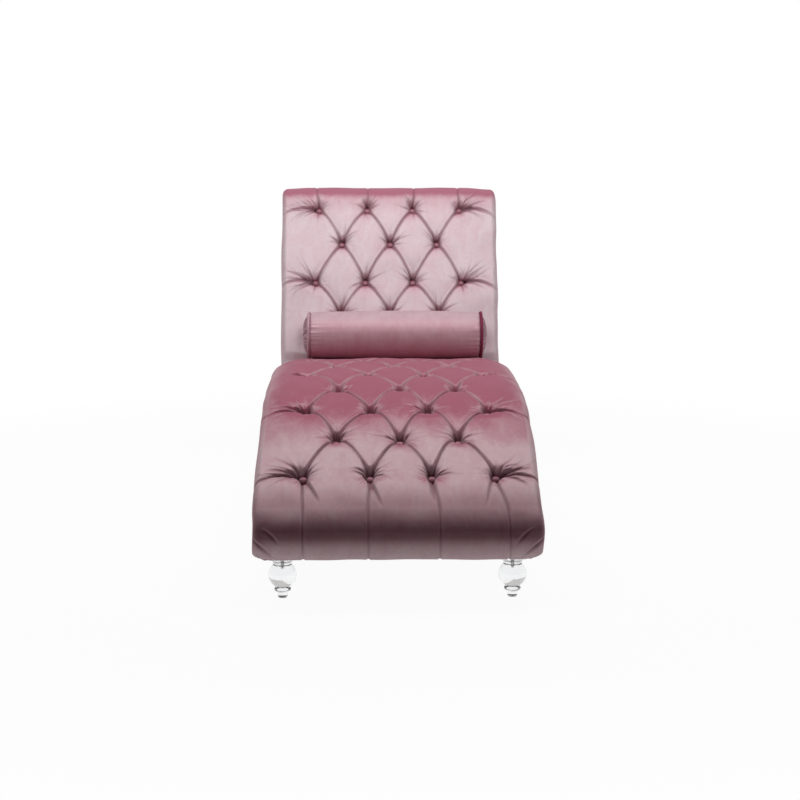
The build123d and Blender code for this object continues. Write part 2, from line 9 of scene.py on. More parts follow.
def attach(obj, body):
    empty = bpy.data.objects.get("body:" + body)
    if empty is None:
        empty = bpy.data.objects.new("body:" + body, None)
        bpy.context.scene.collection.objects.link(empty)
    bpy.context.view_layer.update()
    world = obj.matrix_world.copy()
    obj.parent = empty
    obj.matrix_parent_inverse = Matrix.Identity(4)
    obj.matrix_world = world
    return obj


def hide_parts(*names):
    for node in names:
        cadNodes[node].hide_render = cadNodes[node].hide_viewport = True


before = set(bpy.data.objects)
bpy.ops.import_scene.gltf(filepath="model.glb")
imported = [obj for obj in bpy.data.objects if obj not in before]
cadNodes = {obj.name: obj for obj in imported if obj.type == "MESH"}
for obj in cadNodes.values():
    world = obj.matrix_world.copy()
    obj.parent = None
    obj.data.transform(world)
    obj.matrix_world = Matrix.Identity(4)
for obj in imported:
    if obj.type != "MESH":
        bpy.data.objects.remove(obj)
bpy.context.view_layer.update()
scene = bpy.context.scene
print("frame:", len(cadNodes), "nodes")

# side line of the chaise in mm, from the front-most point of the nose
sideLine = {
    "middle": 788.5012,
    "underside": 101.0,
    "frontFace": 65.0,
    "rollRadius": 52.0,
    "noseRadius": 70.0,
    "slopeAngle": 29.0,
    "slopeLength": 195.0,
    "kneeRadius": 870.0,
    "crestLength": 105.0,
    "fallRadius": 1500.0,
    "fallAngle": 13.0,
    "hollowRadius": 800.0,
    "tuckLength": 38.0,
    "tuckReach": 30.0,
    "recline": 22.0,
    "backRise": 471.0,
    "topRadius": 58.0,
    "backThickness": 116.0,
    "rearBendAt": 52.0,
    "rearRadius": 300.0,
    "halfWidth": 317.0,
    "edgeRound": 17.0,
    "padThickness": 40.0,
    "hemThickness": 6.0,
    "rearHem": 5.0,
    "cornerRound": 11.0,
    "crestSeam": 12.0,
    "crestFrom": 180.0,
    "crestFull": 800.0,
    "crestEnds": 1150.0,
    "crestGone": 1400.0,
    "rollThins": [40, 38, 34, 30, 24, 15],
}
mm = 0.001
lean = math.radians(sideLine["recline"])


def arcSpan(radius, turn):
    return (radius * math.radians(abs(turn)), turn)


def runOut(spot, angle, length, turn, d):
    d = np.asarray(d, float)[..., None]
    if abs(turn) < 1e-9:
        return spot + d * np.array([math.cos(angle), math.sin(angle)])
    now = angle + turn * d / length
    step = [np.sin(now) - math.sin(angle), math.cos(angle) - np.cos(now)]
    return spot + length / turn * np.concatenate(step, -1)


def chainOf(start, heading, spans):
    chain, along = [], 0.0
    spot, angle = np.array(start, float), math.radians(heading)
    for length, turn in spans:
        turn = math.radians(turn)
        chain.append((along, length, spot, angle, turn))
        spot = runOut(spot, angle, length, turn, length)
        angle += turn
        along += length
    return chain, along


def chainAt(chain, along):  # point and outward normal in the side plane
    along = np.asarray(along, float)
    spot = np.zeros(along.shape + (2,))
    angle = np.zeros(along.shape)
    for start, length, first, heading, turn in chain:
        on = (along >= start - 1e-6) | (start == 0)
        d = along[on] - start
        spot[on] = runOut(first, heading, length, turn, d)
        angle[on] = heading + turn * d / length
    return spot, np.stack([-np.sin(angle), np.cos(angle)], -1)


seatSpans = [
    (sideLine["frontFace"] - sideLine["rollRadius"], 0),
    arcSpan(sideLine["rollRadius"], -90),
    arcSpan(sideLine["noseRadius"], sideLine["slopeAngle"] - 90),
    (sideLine["slopeLength"], 0),
    arcSpan(sideLine["kneeRadius"], -sideLine["slopeAngle"]),
    (sideLine["crestLength"], 0),
    arcSpan(sideLine["fallRadius"], -sideLine["fallAngle"]),
    arcSpan(sideLine["hollowRadius"], sideLine["fallAngle"]),
    (sideLine["tuckLength"], 0),
]
seatStart = (sideLine["frontFace"] - sideLine["middle"], sideLine["underside"])
seatChain, creaseAlong = chainOf(seatStart, 180, seatSpans)
crease = chainAt(seatChain, creaseAlong)[0]
rollSpan = arcSpan(sideLine["topRadius"], -180)
backSpans = [(sideLine["backRise"], 0), rollSpan]
backChain, backEnd = chainOf(crease, 90 - sideLine["recline"], backSpans)
rollStart = seatSpans[0][0] + seatSpans[1][0]  # where the front roll meets the nose


def smooth(v, low, high):
    t = np.clip((v - low) / (high - low), 0, 1)
    return t * t * (3 - 2 * t)


def climbShare(along):  # 0 at the nose, 1 from the crest on
    return smooth(along, sideLine["crestFrom"], sideLine["crestFull"])


def crestShare(along):  # 0 at the nose, 1 along the crest, falling again to the crease
    return climbShare(along) * (1 - smooth(along, sideLine["crestEnds"], sideLine["crestGone"]))


def padThicknessSeat(along):
    ends = [sideLine["hemThickness"], sideLine["padThickness"]]
    base = np.interp(along, [seatSpans[0][0], rollStart], ends)
    return base + sideLine["crestSeam"] * crestShare(along)


def padThicknessBack(along):  # even up the back, thinning round the top roll to the rear hem
    thins = sideLine["rollThins"] + [sideLine["rearHem"]]
    shares = sideLine["backRise"] + rollSpan[0] * np.arange(len(thins)) / (len(thins) - 1)
    return np.interp(along, shares, thins)


def curveAt(curve, v):  # height of a curve given as points
    return np.interp(v, *np.array(curve, float).T)


def roundOff(away, radius):  # how far a rounded edge draws in, by the distance from that edge
    left = np.clip(radius - away, 0, radius)
    return radius - np.sqrt(np.maximum(radius**2 - left**2, 0))


def tuckUnder(z):  # how far the lower edge draws in near the underside
    return roundOff(z - sideLine["underside"], sideLine["cornerRound"])


def meshObject(name, points, faces, material):
    mesh = bpy.data.meshes.new(name)
    mesh.from_pydata([tuple(p) for p in np.asarray(points) * mm], [], faces)
    mesh.validate()
    work = bmesh.new()
    work.from_mesh(mesh)
    bmesh.ops.recalc_face_normals(work, faces=work.faces[:])
    work.to_mesh(mesh)
    work.free()
    mesh.polygons.foreach_set("use_smooth", [True] * len(mesh.polygons))
    mesh.materials.append(material)
    obj = bpy.data.objects.new(name, mesh)
    scene.collection.objects.link(obj)
    return obj


def gridFaces(rows, columns, start=0):
    at = np.arange(rows * columns).reshape(rows, columns) + start
    quads = np.stack([at[:-1, :-1], at[:-1, 1:], at[1:, 1:], at[1:, :-1]], -1)
    return quads.reshape(-1, 4).tolist()


# shader groups and materials

def nodeGroup(name, inputs, outputs):
    tree = bpy.data.node_groups.new(name, "ShaderNodeTree")
    for label, kind, value in inputs:
        socket = tree.interface.new_socket(label, in_out="INPUT", socket_type=kind)
        socket.default_value = value
    for label, kind in outputs:
        tree.interface.new_socket(label, in_out="OUTPUT", socket_type=kind)
    return tree, tree.nodes.new("NodeGroupInput"), tree.nodes.new("NodeGroupOutput")


def mathNode(tree, operation, a, b=None, clamp=False):
    node = tree.nodes.new("ShaderNodeMath")
    node.operation = operation
    node.use_clamp = clamp
    for socket, value in zip(node.inputs, (a, b)):
        if value is None:
            continue
        if isinstance(value, (int, float)):
            socket.default_value = value
        else:
            tree.links.new(value, socket)
    return node.outputs[0]


def weighNode(tree, a, shareA, b, shareB):  # weighted sum of two masks
    first = mathNode(tree, "MULTIPLY", a, shareA)
    second = mathNode(tree, "MULTIPLY", b, shareB)
    return mathNode(tree, "ADD", first, second)


def noiseNode(tree, vector, scale, detail, rough=0.5, distortion=0.0):
    node = tree.nodes.new("ShaderNodeTexNoise")
    node.inputs["Detail"].default_value = detail
    node.inputs["Roughness"].default_value = rough
    node.inputs["Distortion"].default_value = distortion
    tree.links.new(vector, node.inputs["Vector"])
    if isinstance(scale, (int, float)):
        node.inputs["Scale"].default_value = scale
    else:
        tree.links.new(scale, node.inputs["Scale"])
    return node.outputs["Fac"]


def stretchNode(tree, scale):  # object coordinates, plain and drawn out
    place = tree.nodes.new("ShaderNodeTexCoord").outputs["Object"]
    node = tree.nodes.new("ShaderNodeMapping")
    node.inputs["Scale"].default_value = scale
    tree.links.new(place, node.inputs["Vector"])
    return place, node.outputs[0]


napForm = {
    "stretch": (1.6, 0.8, 1.0),
    "crushFiner": 6.5,
    "patchFrom": 0.50,
    "patchTo": 1.05,
    "pileShare": 0.45,
    "crushShare": 0.55,
}
grainForm = {"stretch": (0.12, 1.0, 1.0), "grainFiner": 8, "bandFiner": 6}


def makeNapGroup():  # crushed patches and pile of a velvet
    inputs = [
        ("Patch Scale", "NodeSocketFloat", 14.0),
        ("Pile Scale", "NodeSocketFloat", 900.0),
        ("Streak", "NodeSocketFloat", 0.35),
    ]
    outputs = [("Patch", "NodeSocketFloat"), ("Height", "NodeSocketFloat")]
    tree, given, out = nodeGroup("velvetNap", inputs, outputs)
    place, stretched = stretchNode(tree, napForm["stretch"])
    patchScale = given.outputs["Patch Scale"]
    crushScale = mathNode(tree, "MULTIPLY", patchScale, napForm["crushFiner"])
    broad = noiseNode(tree, stretched, patchScale, detail=5, rough=0.62, distortion=0.9)
    crush = noiseNode(tree, place, crushScale, detail=4, rough=0.65, distortion=1.4)
    pile = noiseNode(tree, place, given.outputs["Pile Scale"], detail=2, rough=0.7)
    mixed = mathNode(tree, "ADD", broad, mathNode(tree, "MULTIPLY", crush, given.outputs["Streak"]))
    patch = tree.nodes.new("ShaderNodeMapRange")
    patch.inputs["From Min"].default_value = napForm["patchFrom"]
    patch.inputs["From Max"].default_value = napForm["patchTo"]
    tree.links.new(mixed, patch.inputs["Value"])
    height = weighNode(tree, pile, napForm["pileShare"], crush, napForm["crushShare"])
    tree.links.new(patch.outputs[0], out.inputs["Patch"])
    tree.links.new(height, out.inputs["Height"])
    return tree


def makeGrainGroup():  # wood grain along X with growth bands
    inputs = [("Grain Scale", "NodeSocketFloat", 30.0), ("Band Scale", "NodeSocketFloat", 4.0)]
    outputs = [("Grain", "NodeSocketFloat"), ("Bands", "NodeSocketFloat")]
    tree, given, out = nodeGroup("timberGrain", inputs, outputs)
    stretched = stretchNode(tree, grainForm["stretch"])[1]
    grainScale = mathNode(tree, "MULTIPLY", given.outputs["Grain Scale"], grainForm["grainFiner"])
    bandScale = mathNode(tree, "MULTIPLY", given.outputs["Band Scale"], grainForm["bandFiner"])
    grain = noiseNode(tree, stretched, grainScale, detail=4, rough=0.6)
    bands = noiseNode(tree, stretched, bandScale, detail=3, distortion=2.0)
    tree.links.new(grain, out.inputs["Grain"])
    tree.links.new(bands, out.inputs["Bands"])
    return tree


def makeWeaveGroup():  # plain weave in two directions
    inputs = [("Thread Scale", "NodeSocketFloat", 400.0)]
    outputs = [("Weave", "NodeSocketFloat"), ("Fuzz", "NodeSocketFloat")]
    tree, given, out = nodeGroup("plainWeave", inputs, outputs)
    place = tree.nodes.new("ShaderNodeTexCoord").outputs["Object"]
    threads = []
    for direction in ("X", "Y"):
        wave = tree.nodes.new("ShaderNodeTexWave")
        wave.bands_direction = direction
        wave.inputs["Distortion"].default_value = 0.6
        tree.links.new(place, wave.inputs["Vector"])
        tree.links.new(given.outputs["Thread Scale"], wave.inputs["Scale"])
        threads.append(wave.outputs["Fac"])
    fuzzScale = mathNode(tree, "MULTIPLY", given.outputs["Thread Scale"], 0.5)
    fuzz = noiseNode(tree, place, fuzzScale, detail=3)
    tree.links.new(mathNode(tree, "MULTIPLY", threads[0], threads[1]), out.inputs["Weave"])
    tree.links.new(fuzz, out.inputs["Fuzz"])
    return tree


napGroup = makeNapGroup()
grainGroup = makeGrainGroup()
weaveGroup = makeWeaveGroup()


def blankMaterial(name, constants):
    material = bpy.data.materials.new(name)
    material.use_nodes = True
    shader = material.node_tree.nodes["Principled BSDF"]
    for label, value in constants.items():
        shader.inputs[label].default_value = value
    return material, material.node_tree, shader


def groupNode(tree, group, values):
    node = tree.nodes.new("ShaderNodeGroup")
    node.node_tree = group
    for label, value in values.items():
        node.inputs[label].default_value = value
    return node


def rampNode(tree, factor, stops):
    node = tree.nodes.new("ShaderNodeValToRGB")
    while len(node.color_ramp.elements) < len(stops):
        node.color_ramp.elements.new(0.5)
    for element, (place, colour) in zip(node.color_ramp.elements, stops):
        element.position = place
        element.color = (*colour, 1)
    tree.links.new(factor, node.inputs["Fac"])
    return node.outputs["Color"]


def rangeNode(tree, value, low, high):
    node = tree.nodes.new("ShaderNodeMapRange")
    node.inputs["To Min"].default_value = low
    node.inputs["To Max"].default_value = high
    tree.links.new(value, node.inputs["Value"])
    return node.outputs[0]


def bumpNode(tree, shader, height, strength, distance):
    node = tree.nodes.new("ShaderNodeBump")
    node.inputs["Strength"].default_value = strength
    node.inputs["Distance"].default_value = distance
    tree.links.new(height, node.inputs["Height"])
    tree.links.new(node.outputs["Normal"], shader.inputs["Normal"])


velvetLook = {
    # painted shade colour for the button pockets and the creases
    "pocket": (0.165, 0.052, 0.074),
    # painted shade colour for the band under the nose
    "shade": (0.170, 0.050, 0.067),
    "mottle": 0.36,
    "evenPatch": 0.22,
    "pileScale": 900.0,
    "streak": 0.55,
    "metallic": 0.25,
    "rough": (0.46, 0.56),
    "gloss": 0.25,
    "sheen": 0.07,
    "sheenRough": 0.45,
    "sheenTint": (1.0, 0.84, 0.89, 1),
    "edgeTint": (0.62, 0.30, 0.38, 1),
    "bump": 0.10,
    "bumpHeight": 0.0008,
}
velvetTones = {  # pale tone carrying painted sheen, deep tone, mixed by the painted tilt mask; scale of the crushed patches
    "seatVelvet": ((0.66, 0.512, 0.533), (0.390, 0.116, 0.170), 20.0),
    # the back is painted paler than the seat: painted light
    "backVelvet": ((0.80, 0.67, 0.70), (0.555, 0.205, 0.280), 20.0),
    "panelVelvet": ((0.56, 0.40, 0.43), (0.380, 0.080, 0.135), 16.0),
    "bolsterVelvet": ((0.74, 0.54, 0.59), (0.460, 0.140, 0.190), 18.0),
    # buttons painted darker: painted shade of the pockets they sit in
    "buttonVelvet": ((0.45, 0.24, 0.285), (0.300, 0.080, 0.120), 70.0),
    "pipingVelvet": ((0.72, 0.50, 0.56), (0.250, 0.035, 0.080), 60.0),
}


def mixNode(tree, factor, a, b):
    node = tree.nodes.new("ShaderNodeMix")
    node.data_type = "RGBA"
    for socket, value in ((node.inputs["Factor"], factor), (node.inputs[6], a), (node.inputs[7], b)):
        if isinstance(value, bpy.types.NodeSocket):
            tree.links.new(value, socket)
        else:
            socket.default_value = value
    return node.outputs[2]


def attributeNode(tree, name):
    node = tree.nodes.new("ShaderNodeAttribute")
    node.attribute_name = name
    return node.outputs["Fac"]


def makeVelvet(name):
    constants = {
        "Sheen Weight": velvetLook["sheen"],
        "Sheen Roughness": velvetLook["sheenRough"],
        "Sheen Tint": velvetLook["sheenTint"],
        "Specular Tint": velvetLook["edgeTint"],
        "Specular IOR Level": velvetLook["gloss"],
    }
    pale, deep, patchScale = velvetTones[name]
    material, tree, shader = blankMaterial(name, constants)
    scales = {"Patch Scale": patchScale, "Pile Scale": velvetLook["pileScale"]}
    nap = groupNode(tree, napGroup, {**scales, "Streak": velvetLook["streak"]})
    patch = nap.outputs["Patch"]
    uneven = mathNode(tree, "SUBTRACT", patch, velvetLook["evenPatch"])
    uneven = mathNode(tree, "MULTIPLY", uneven, velvetLook["mottle"])
    # the nap mask carries painted sheen and shade by face tilt; the crushed patches roughen it
    sheenShadeMix = mathNode(tree, "ADD", attributeNode(tree, "nap"), uneven, True)
    colour = mixNode(tree, sheenShadeMix, (*pale, 1), (*deep, 1))
    # painted shade: the dark band under the nose
    colour = mixNode(tree, attributeNode(tree, "shade"), colour, (*velvetLook["shade"], 1))
    pocket = attributeNode(tree, "pocket")  # painted shade: darker, and with less metallic shine, in the button pockets and along the creases
    colour = mixNode(tree, pocket, colour, (*velvetLook["pocket"], 1))
    tree.links.new(colour, shader.inputs["Base Color"])
    shine = mathNode(tree, "MULTIPLY", mathNode(tree, "SUBTRACT", 1, pocket), velvetLook["metallic"])
    tree.links.new(shine, shader.inputs["Metallic"])
    smoother, rougher = velvetLook["rough"]
    tree.links.new(rangeNode(tree, patch, rougher, smoother), shader.inputs["Roughness"])
    bumpNode(tree, shader, nap.outputs["Height"], velvetLook["bump"], velvetLook["bumpHeight"])
    return material


timberLooks = {  # dark and pale grain, scale of the growth bands
    "softwood": ((0.42, 0.25, 0.12), (0.66, 0.47, 0.28), 4.0),
    "plywood": ((0.48, 0.31, 0.17), (0.70, 0.53, 0.34), 9.0),
}
wovenLooks = {  # dark and pale threads, scale of the threads, gloss
    "webbing": ((0.16, 0.12, 0.08), (0.42, 0.34, 0.24), 300.0, 0.5),
    "cambric": ((0.58, 0.57, 0.56), (0.78, 0.77, 0.76), 500.0, 0.2),
    "twine": ((0.40, 0.33, 0.22), (0.66, 0.58, 0.44), 700.0, 0.5),
}
speckledLooks = {  # dark and pale specks, scale, roughness, bump, what is the same all over
    "foam": ((0.62, 0.56, 0.36), (0.78, 0.73, 0.55), 500.0, (0.85, 0.98), 0.5, {}),
    "fibreFill": ((0.74, 0.74, 0.72), (0.88, 0.88, 0.87), 250.0, (0.85, 0.98), 0.4, {}),
    "zincSteel": ((0.30, 0.30, 0.31), (0.52, 0.52, 0.53), 220.0, (0.28, 0.45), 0.15, {"Metallic": 1.0}),
    "insertBrass": ((0.44, 0.29, 0.10), (0.62, 0.44, 0.18), 220.0, (0.28, 0.45), 0.15, {"Metallic": 1.0}),
    "glidePlastic": (
        (0.90, 0.90, 0.90),
        (0.96, 0.96, 0.96),
        150.0,
        (0.2, 0.35),
        0.15,
        {"Transmission Weight": 1.0, "IOR": 1.15},
    ),
}
acrylicLook = {
    "dark": (0.88, 0.89, 0.90),
    "pale": (0.92, 0.925, 0.93),
    "scale": 90.0,
    "rough": (0.07, 0.12),
    "ior": 1.49,
}


def makeTimber(name):
    dark, pale, bandScale = timberLooks[name]
    material, tree, shader = blankMaterial(name, {"Specular IOR Level": 0.3})
    grain = groupNode(tree, grainGroup, {"Grain Scale": 30.0, "Band Scale": bandScale})
    both = weighNode(tree, grain.outputs["Grain"], 0.5, grain.outputs["Bands"], 0.5)
    tree.links.new(rampNode(tree, both, [(0.2, dark), (0.8, pale)]), shader.inputs["Base Color"])
    tree.links.new(rangeNode(tree, grain.outputs["Grain"], 0.5, 0.75), shader.inputs["Roughness"])
    bumpNode(tree, shader, grain.outputs["Grain"], strength=0.2, distance=0.0005)
    return material


def makeWoven(name):
    dark, pale, threadScale, gloss = wovenLooks[name]
    material, tree, shader = blankMaterial(name, {"Specular IOR Level": gloss})
    weave = groupNode(tree, weaveGroup, {"Thread Scale": threadScale})
    both = weighNode(tree, weave.outputs["Weave"], 0.6, weave.outputs["Fuzz"], 0.4)
    tree.links.new(rampNode(tree, both, [(0.2, dark), (0.8, pale)]), shader.inputs["Base Color"])
    tree.links.new(rangeNode(tree, weave.outputs["Fuzz"], 0.75, 0.95), shader.inputs["Roughness"])
    bumpNode(tree, shader, weave.outputs["Weave"], strength=0.35, distance=0.0006)
    return material


def makeSpeckled(name):
    dark, pale, scale, rough, bump, constants = speckledLooks[name]
    material, tree, shader = blankMaterial(name, constants)
    place = tree.nodes.new("ShaderNodeTexCoord").outputs["Object"]
    specks = noiseNode(tree, place, scale, detail=4, rough=0.6)
    tree.links.new(rampNode(tree, specks, [(0.3, dark), (0.7, pale)]), shader.inputs["Base Color"])
    tree.links.new(rangeNode(tree, specks, *rough), shader.inputs["Roughness"])
    bumpNode(tree, shader, specks, bump, distance=0.0005)
    return material


def makeAcrylic():
    constants = {"Transmission Weight": 1.0, "IOR": acrylicLook["ior"]}
    material, tree, shader = blankMaterial("clearAcrylic", constants)
    place = tree.nodes.new("ShaderNodeTexCoord").outputs["Object"]
    polish = noiseNode(tree, place, acrylicLook["scale"], detail=3)
    tint = rampNode(tree, polish, [(0.3, acrylicLook["dark"]), (0.7, acrylicLook["pale"])])
    tree.links.new(tint, shader.inputs["Base Color"])
    tree.links.new(rangeNode(tree, polish, *acrylicLook["rough"]), shader.inputs["Roughness"])
    return material


velvets = {name: makeVelvet(name) for name in velvetTones}
softwood, plywood = (makeTimber(name) for name in timberLooks)
webbingLook, cambricLook, twineLook = (makeWoven(name) for name in wovenLooks)
foamLook, fillLook, zincLook, brassLook, glideLook = (makeSpeckled(name) for name in speckledLooks)
acrylic = makeAcrylic()
print("materials:", len(bpy.data.materials))

# tufted pads

tufting = {
    "halfSpacing": 71.85,
    "seatFirst": 285.0,
    "seatPitch": 124.0,
    "seatRows": 10,
    "backFirst": 127.0,
    "backPitch": 107.0,
    "backRows": 4,
    "buttonDepth": 30.0,
    "pleatDepth": 6.8,
    "reach": 54.0,
    "swell": 2.2,
    "foldWidth": 2.3,
    "foldLean": 0.35,
    "creaseLine": 1.7,
    "creaseShade": 0.66,
    "soften": 5.0,  # how widely pleats that meet run together
    "funnelDepth": 27.0,
    "funnelAbove": 36.0,
    "funnelBelow": 16.0,
    "funnelPower": 1.8,
    "crown": -0.5,
    "step": 1.95,  # spacing of the mesh
    "seatBow": 0.20,
    "backBow": 0.11,
    "fanDepth": 3.8,
    "fanWidth": 2.2,
    "fanReach": 36.0,
    "gather": 1.7,
    "gatherReach": 32.0,
    "frontSag": 8.5,
    "shoulder": 16.0,
    "crestShoulder": 11.0,
    "noseCut": 5.0,
    "fanShade": 0.9,
    "fanNear": 112.0,
    "outerFrom": 200.0,  # buttons further out have longer creases
    "lip": 1.5,
    "lipAway": 6.0,
    "lipWidth": 2.6,
    "firmDepth": 7.0,
    "pleatNear": 72.0,
    "pleatPoints": 60,
    "pocketFrom": 13.0,
    "pocketSpan": 17.0,
    "wall": 23.0,  # pleats run on this far down the side of the pad
    "edgeFall": 3.0,
    "edgeSoft": 70.0,
    "shoulderFrom": 235.0,
    "shoulderSpan": 82.0,
    "noseAt": 150.0,
    "noseSpan": 42.0,
    "crestPale": 0.5,
    "topBlush": 1.1,
    "topBlushBelow": 48.0,
    "blush": 0.26,
    "blushBelow": 17.0,
    "blushReach": 25.0,
    "backTuck": 28.0,
    "backDip": 6.0,
}
handSet = {  # small shifts of the rows that show, along the cover and across it
    "seat": [
        (-7, (6, 12, 6, 5)),
        (-8, (6, 8, -2)),
        (-10, (8, 13, 3, -1)),
        (-9, (8, 12, 3)),
        (-6, (5, 8, 3, 0)),
    ],
    "back": [
        (0, (0, 0, 0)),
        (-10, (-2, 0, -4, -6)),
        (0, (3, 2, -4)),
        (-2, (8, 6, -3, -9)),
    ],
}
pleatForms = {  # depth along the pleat from its button, and how far its valley reaches
    "side": ([27, 14, 8, 6, 4, 2], [48, 40, 26, 18]),
    "sideShort": ([16, 6, 3.5, 2, 0], [20, 13, 9]),
    "overNose": ([27, 10, 5.5, 4.2, 4, 4, 3.6, 3.4, 3, 1.2], [46, 26, 13, 9, 9, 9, 9]),
    "overTop": ([27, 11, 6, 4.5, 3, 0], [40, 24, 14, 12]),
    "intoCrease": ([27, 16, 14], [50, 40]),
}
sideFolds = {
    "fall": (14, 30),
    "lift": (6, 12),
    "long": 114,
    "upTurn": (12, 40),
    "downTurn": (-46, -18),
    "shortLong": (88, 76),
    "shortChance": 0.75,
    "shortBow": 5,
}
noseFolds = [(44, -92, 6), (37, -108, 5.5), (6, -84, 4), (-20, -104, 4)]  # aside, down, depth
cornerFolds = [  # from and to, across and along the cover, then depth
    (322, 92, 262, 34, 4.5),
    (318, 60, 284, 14, 5),
    (300, 118, 256, 78, 2.5),
]
seatTuck = [(-40, 0), (-13, -9), (0, -19), (30, -23)]  # how the seat dips about the crease
noseShade = [  # painted shade: dark band under the nose, by the distance along the cover
    (50, 0.0), (75, 0.3), (95, 0.68), (110, 0.70), (125, 0.43), (140, 0.27),
    (152, 0.32), (165, 0.42), (180, 0.43), (200, 0.34), (225, 0.18), (250, 0.0),
]


def buttonRows(first, pitch, count, firstKind, shifts):
    rows = []
    for row in range(count):
        kind = firstKind if row % 2 == 0 else 7 - firstKind  # four and three in turn
        along, aside = shifts[row] if row < len(shifts) else (0, [0] * kind)
        xs = [(i - (kind - 1) / 2) * 2 * tufting["halfSpacing"] + aside[i] for i in range(kind)]
        rows.append((first + row * pitch + along, xs))
    return rows


def eachButton(rows):
    return [(x0, s0) for s0, xs in rows for x0 in xs]


seatRows = buttonRows(tufting["seatFirst"], tufting["seatPitch"], tufting["seatRows"], 4, handSet["seat"])
backRows = buttonRows(tufting["backFirst"], tufting["backPitch"], tufting["backRows"], 3, handSet["back"])


def pleat(points, depth, reach, folded):
    points = np.asarray(points, float)
    share = np.linspace(0, 1, len(points))
    deep = np.interp(share, np.linspace(0, 1, len(depth)), depth)
    wide = np.interp(share, np.linspace(0, 1, len(reach)), reach)
    return points, deep, wide, folded


def diamondPleats(rows, bow, rng):
    pleats = []
    t = np.linspace(0, 1, tufting["pleatPoints"])
    ends = tufting["buttonDepth"] - 3
    wide = [share * tufting["reach"] for share in (0.85, 0.65, 0.42, 0.65, 0.85)]
    for (s0, lower), (s1, upper) in zip(rows, rows[1:]):
        neighbours = (0, 1) if len(lower) == 3 else (-1, 0)
        for i, a in enumerate(lower):
            for j, b in enumerate(upper):
                if j - i not in neighbours:
                    continue
                arch = bow * rng.uniform(0.65, 1.3)
                middle = tufting["pleatDepth"] + rng.uniform(-1.5, 1.5)
                half = [ends, 0.45 * ends, middle + 1, middle]
                s = s0 + (s1 - s0) * (t + 4 * arch * t * (1 - t))
                line = np.stack([a + (b - a) * t, s], -1)
                pleats.append(pleat(line, half + [middle] + half[::-1], wide, True))
    return pleats


def sidePleats(rows, rng):  # from the outer buttons to the side edge, with shorter ones beside them
    pleats = []
    t = np.linspace(0, 1, tufting["pleatPoints"])
    for s0, xs in rows:
        if len(xs) != 4:
            continue
        for hand, x0 in ((-1, xs[0]), (1, xs[-1])):
            fall = rng.uniform(*sideFolds["fall"])
            lift = rng.uniform(*sideFolds["lift"])
            s = s0 + lift * np.sin(math.pi * t) - fall * t**2
            line = np.stack([x0 + hand * t * sideFolds["long"], s], -1)
            pleats.append(pleat(line, *pleatForms["side"], True))
            turns = [rng.uniform(*sideFolds["upTurn"]), rng.uniform(*sideFolds["downTurn"])]
            for turn, long in zip(turns, sideFolds["shortLong"]):
                if rng.random() < sideFolds["shortChance"]:
                    s = s0 + turn * t**1.5 + sideFolds["shortBow"] * np.sin(math.pi * t)
                    line = np.stack([x0 + hand * t * long, s], -1)
                    pleats.append(pleat(line, *pleatForms["sideShort"], True))
    return pleats


def straightPleats(row, end, form, drifts, rng):
    pleats = []
    t = np.linspace(0, 1, 2 * tufting["pleatPoints"])
    s0, xs = row
    for x0, drift in zip(xs, drifts):
        sway = rng.uniform(-1.5, 1.5) * np.sin(2 * math.pi * t)
        x = x0 + drift * smooth(t, 0, 0.45) + sway
        pleats.append(pleat(np.stack([x, s0 + (end - s0) * t], -1), *pleatForms[form], False))
    return pleats


def seatPleats(rng):
    pleats = diamondPleats(seatRows, tufting["seatBow"], rng) + sidePleats(seatRows, rng)
    pleats += straightPleats(seatRows[0], 2, "overNose", (2, -5, 14, 22), rng)
    pleats += straightPleats(seatRows[-1], creaseAlong + 25, "intoCrease", (3, -2, 2, -3), rng)
    t = np.linspace(0, 1, tufting["pleatPoints"])
    for i, (aside, down, deep) in enumerate(noseFolds):
        x = (2 * i - 3) * tufting["halfSpacing"] + aside * t**0.75
        line = np.stack([x, seatRows[0][0] + down * t], -1)
        pleats.append(pleat(line, [22, 1.6 * deep, deep, 0.7 * deep, 0], [30, 14, 11, 9], False))
    for hand in (-1, 1):  # cloth folded in at the lower front corners
        for q0, s0, q1, s1, deep in cornerFolds:
            q = hand * (q0 + (q1 - q0) * t)
            s = s0 + (s1 - s0) * t + 6 * np.sin(math.pi * t)
            pleats.append(pleat(np.stack([q, s], -1), [1, deep, deep, 0], [11, 9], True))
    return pleats


def backPleats(rng):
    pleats = diamondPleats(backRows, tufting["backBow"], rng) + sidePleats(backRows, rng)
    top = sideLine["backRise"] + 0.5 * rollSpan[0]
    pleats += straightPleats(backRows[-1], top, "overTop", (-6, 3, 5, -2), rng)
    pleats += straightPleats(backRows[0], 2, "intoCrease", (2, -3, 3), rng)
    return pleats


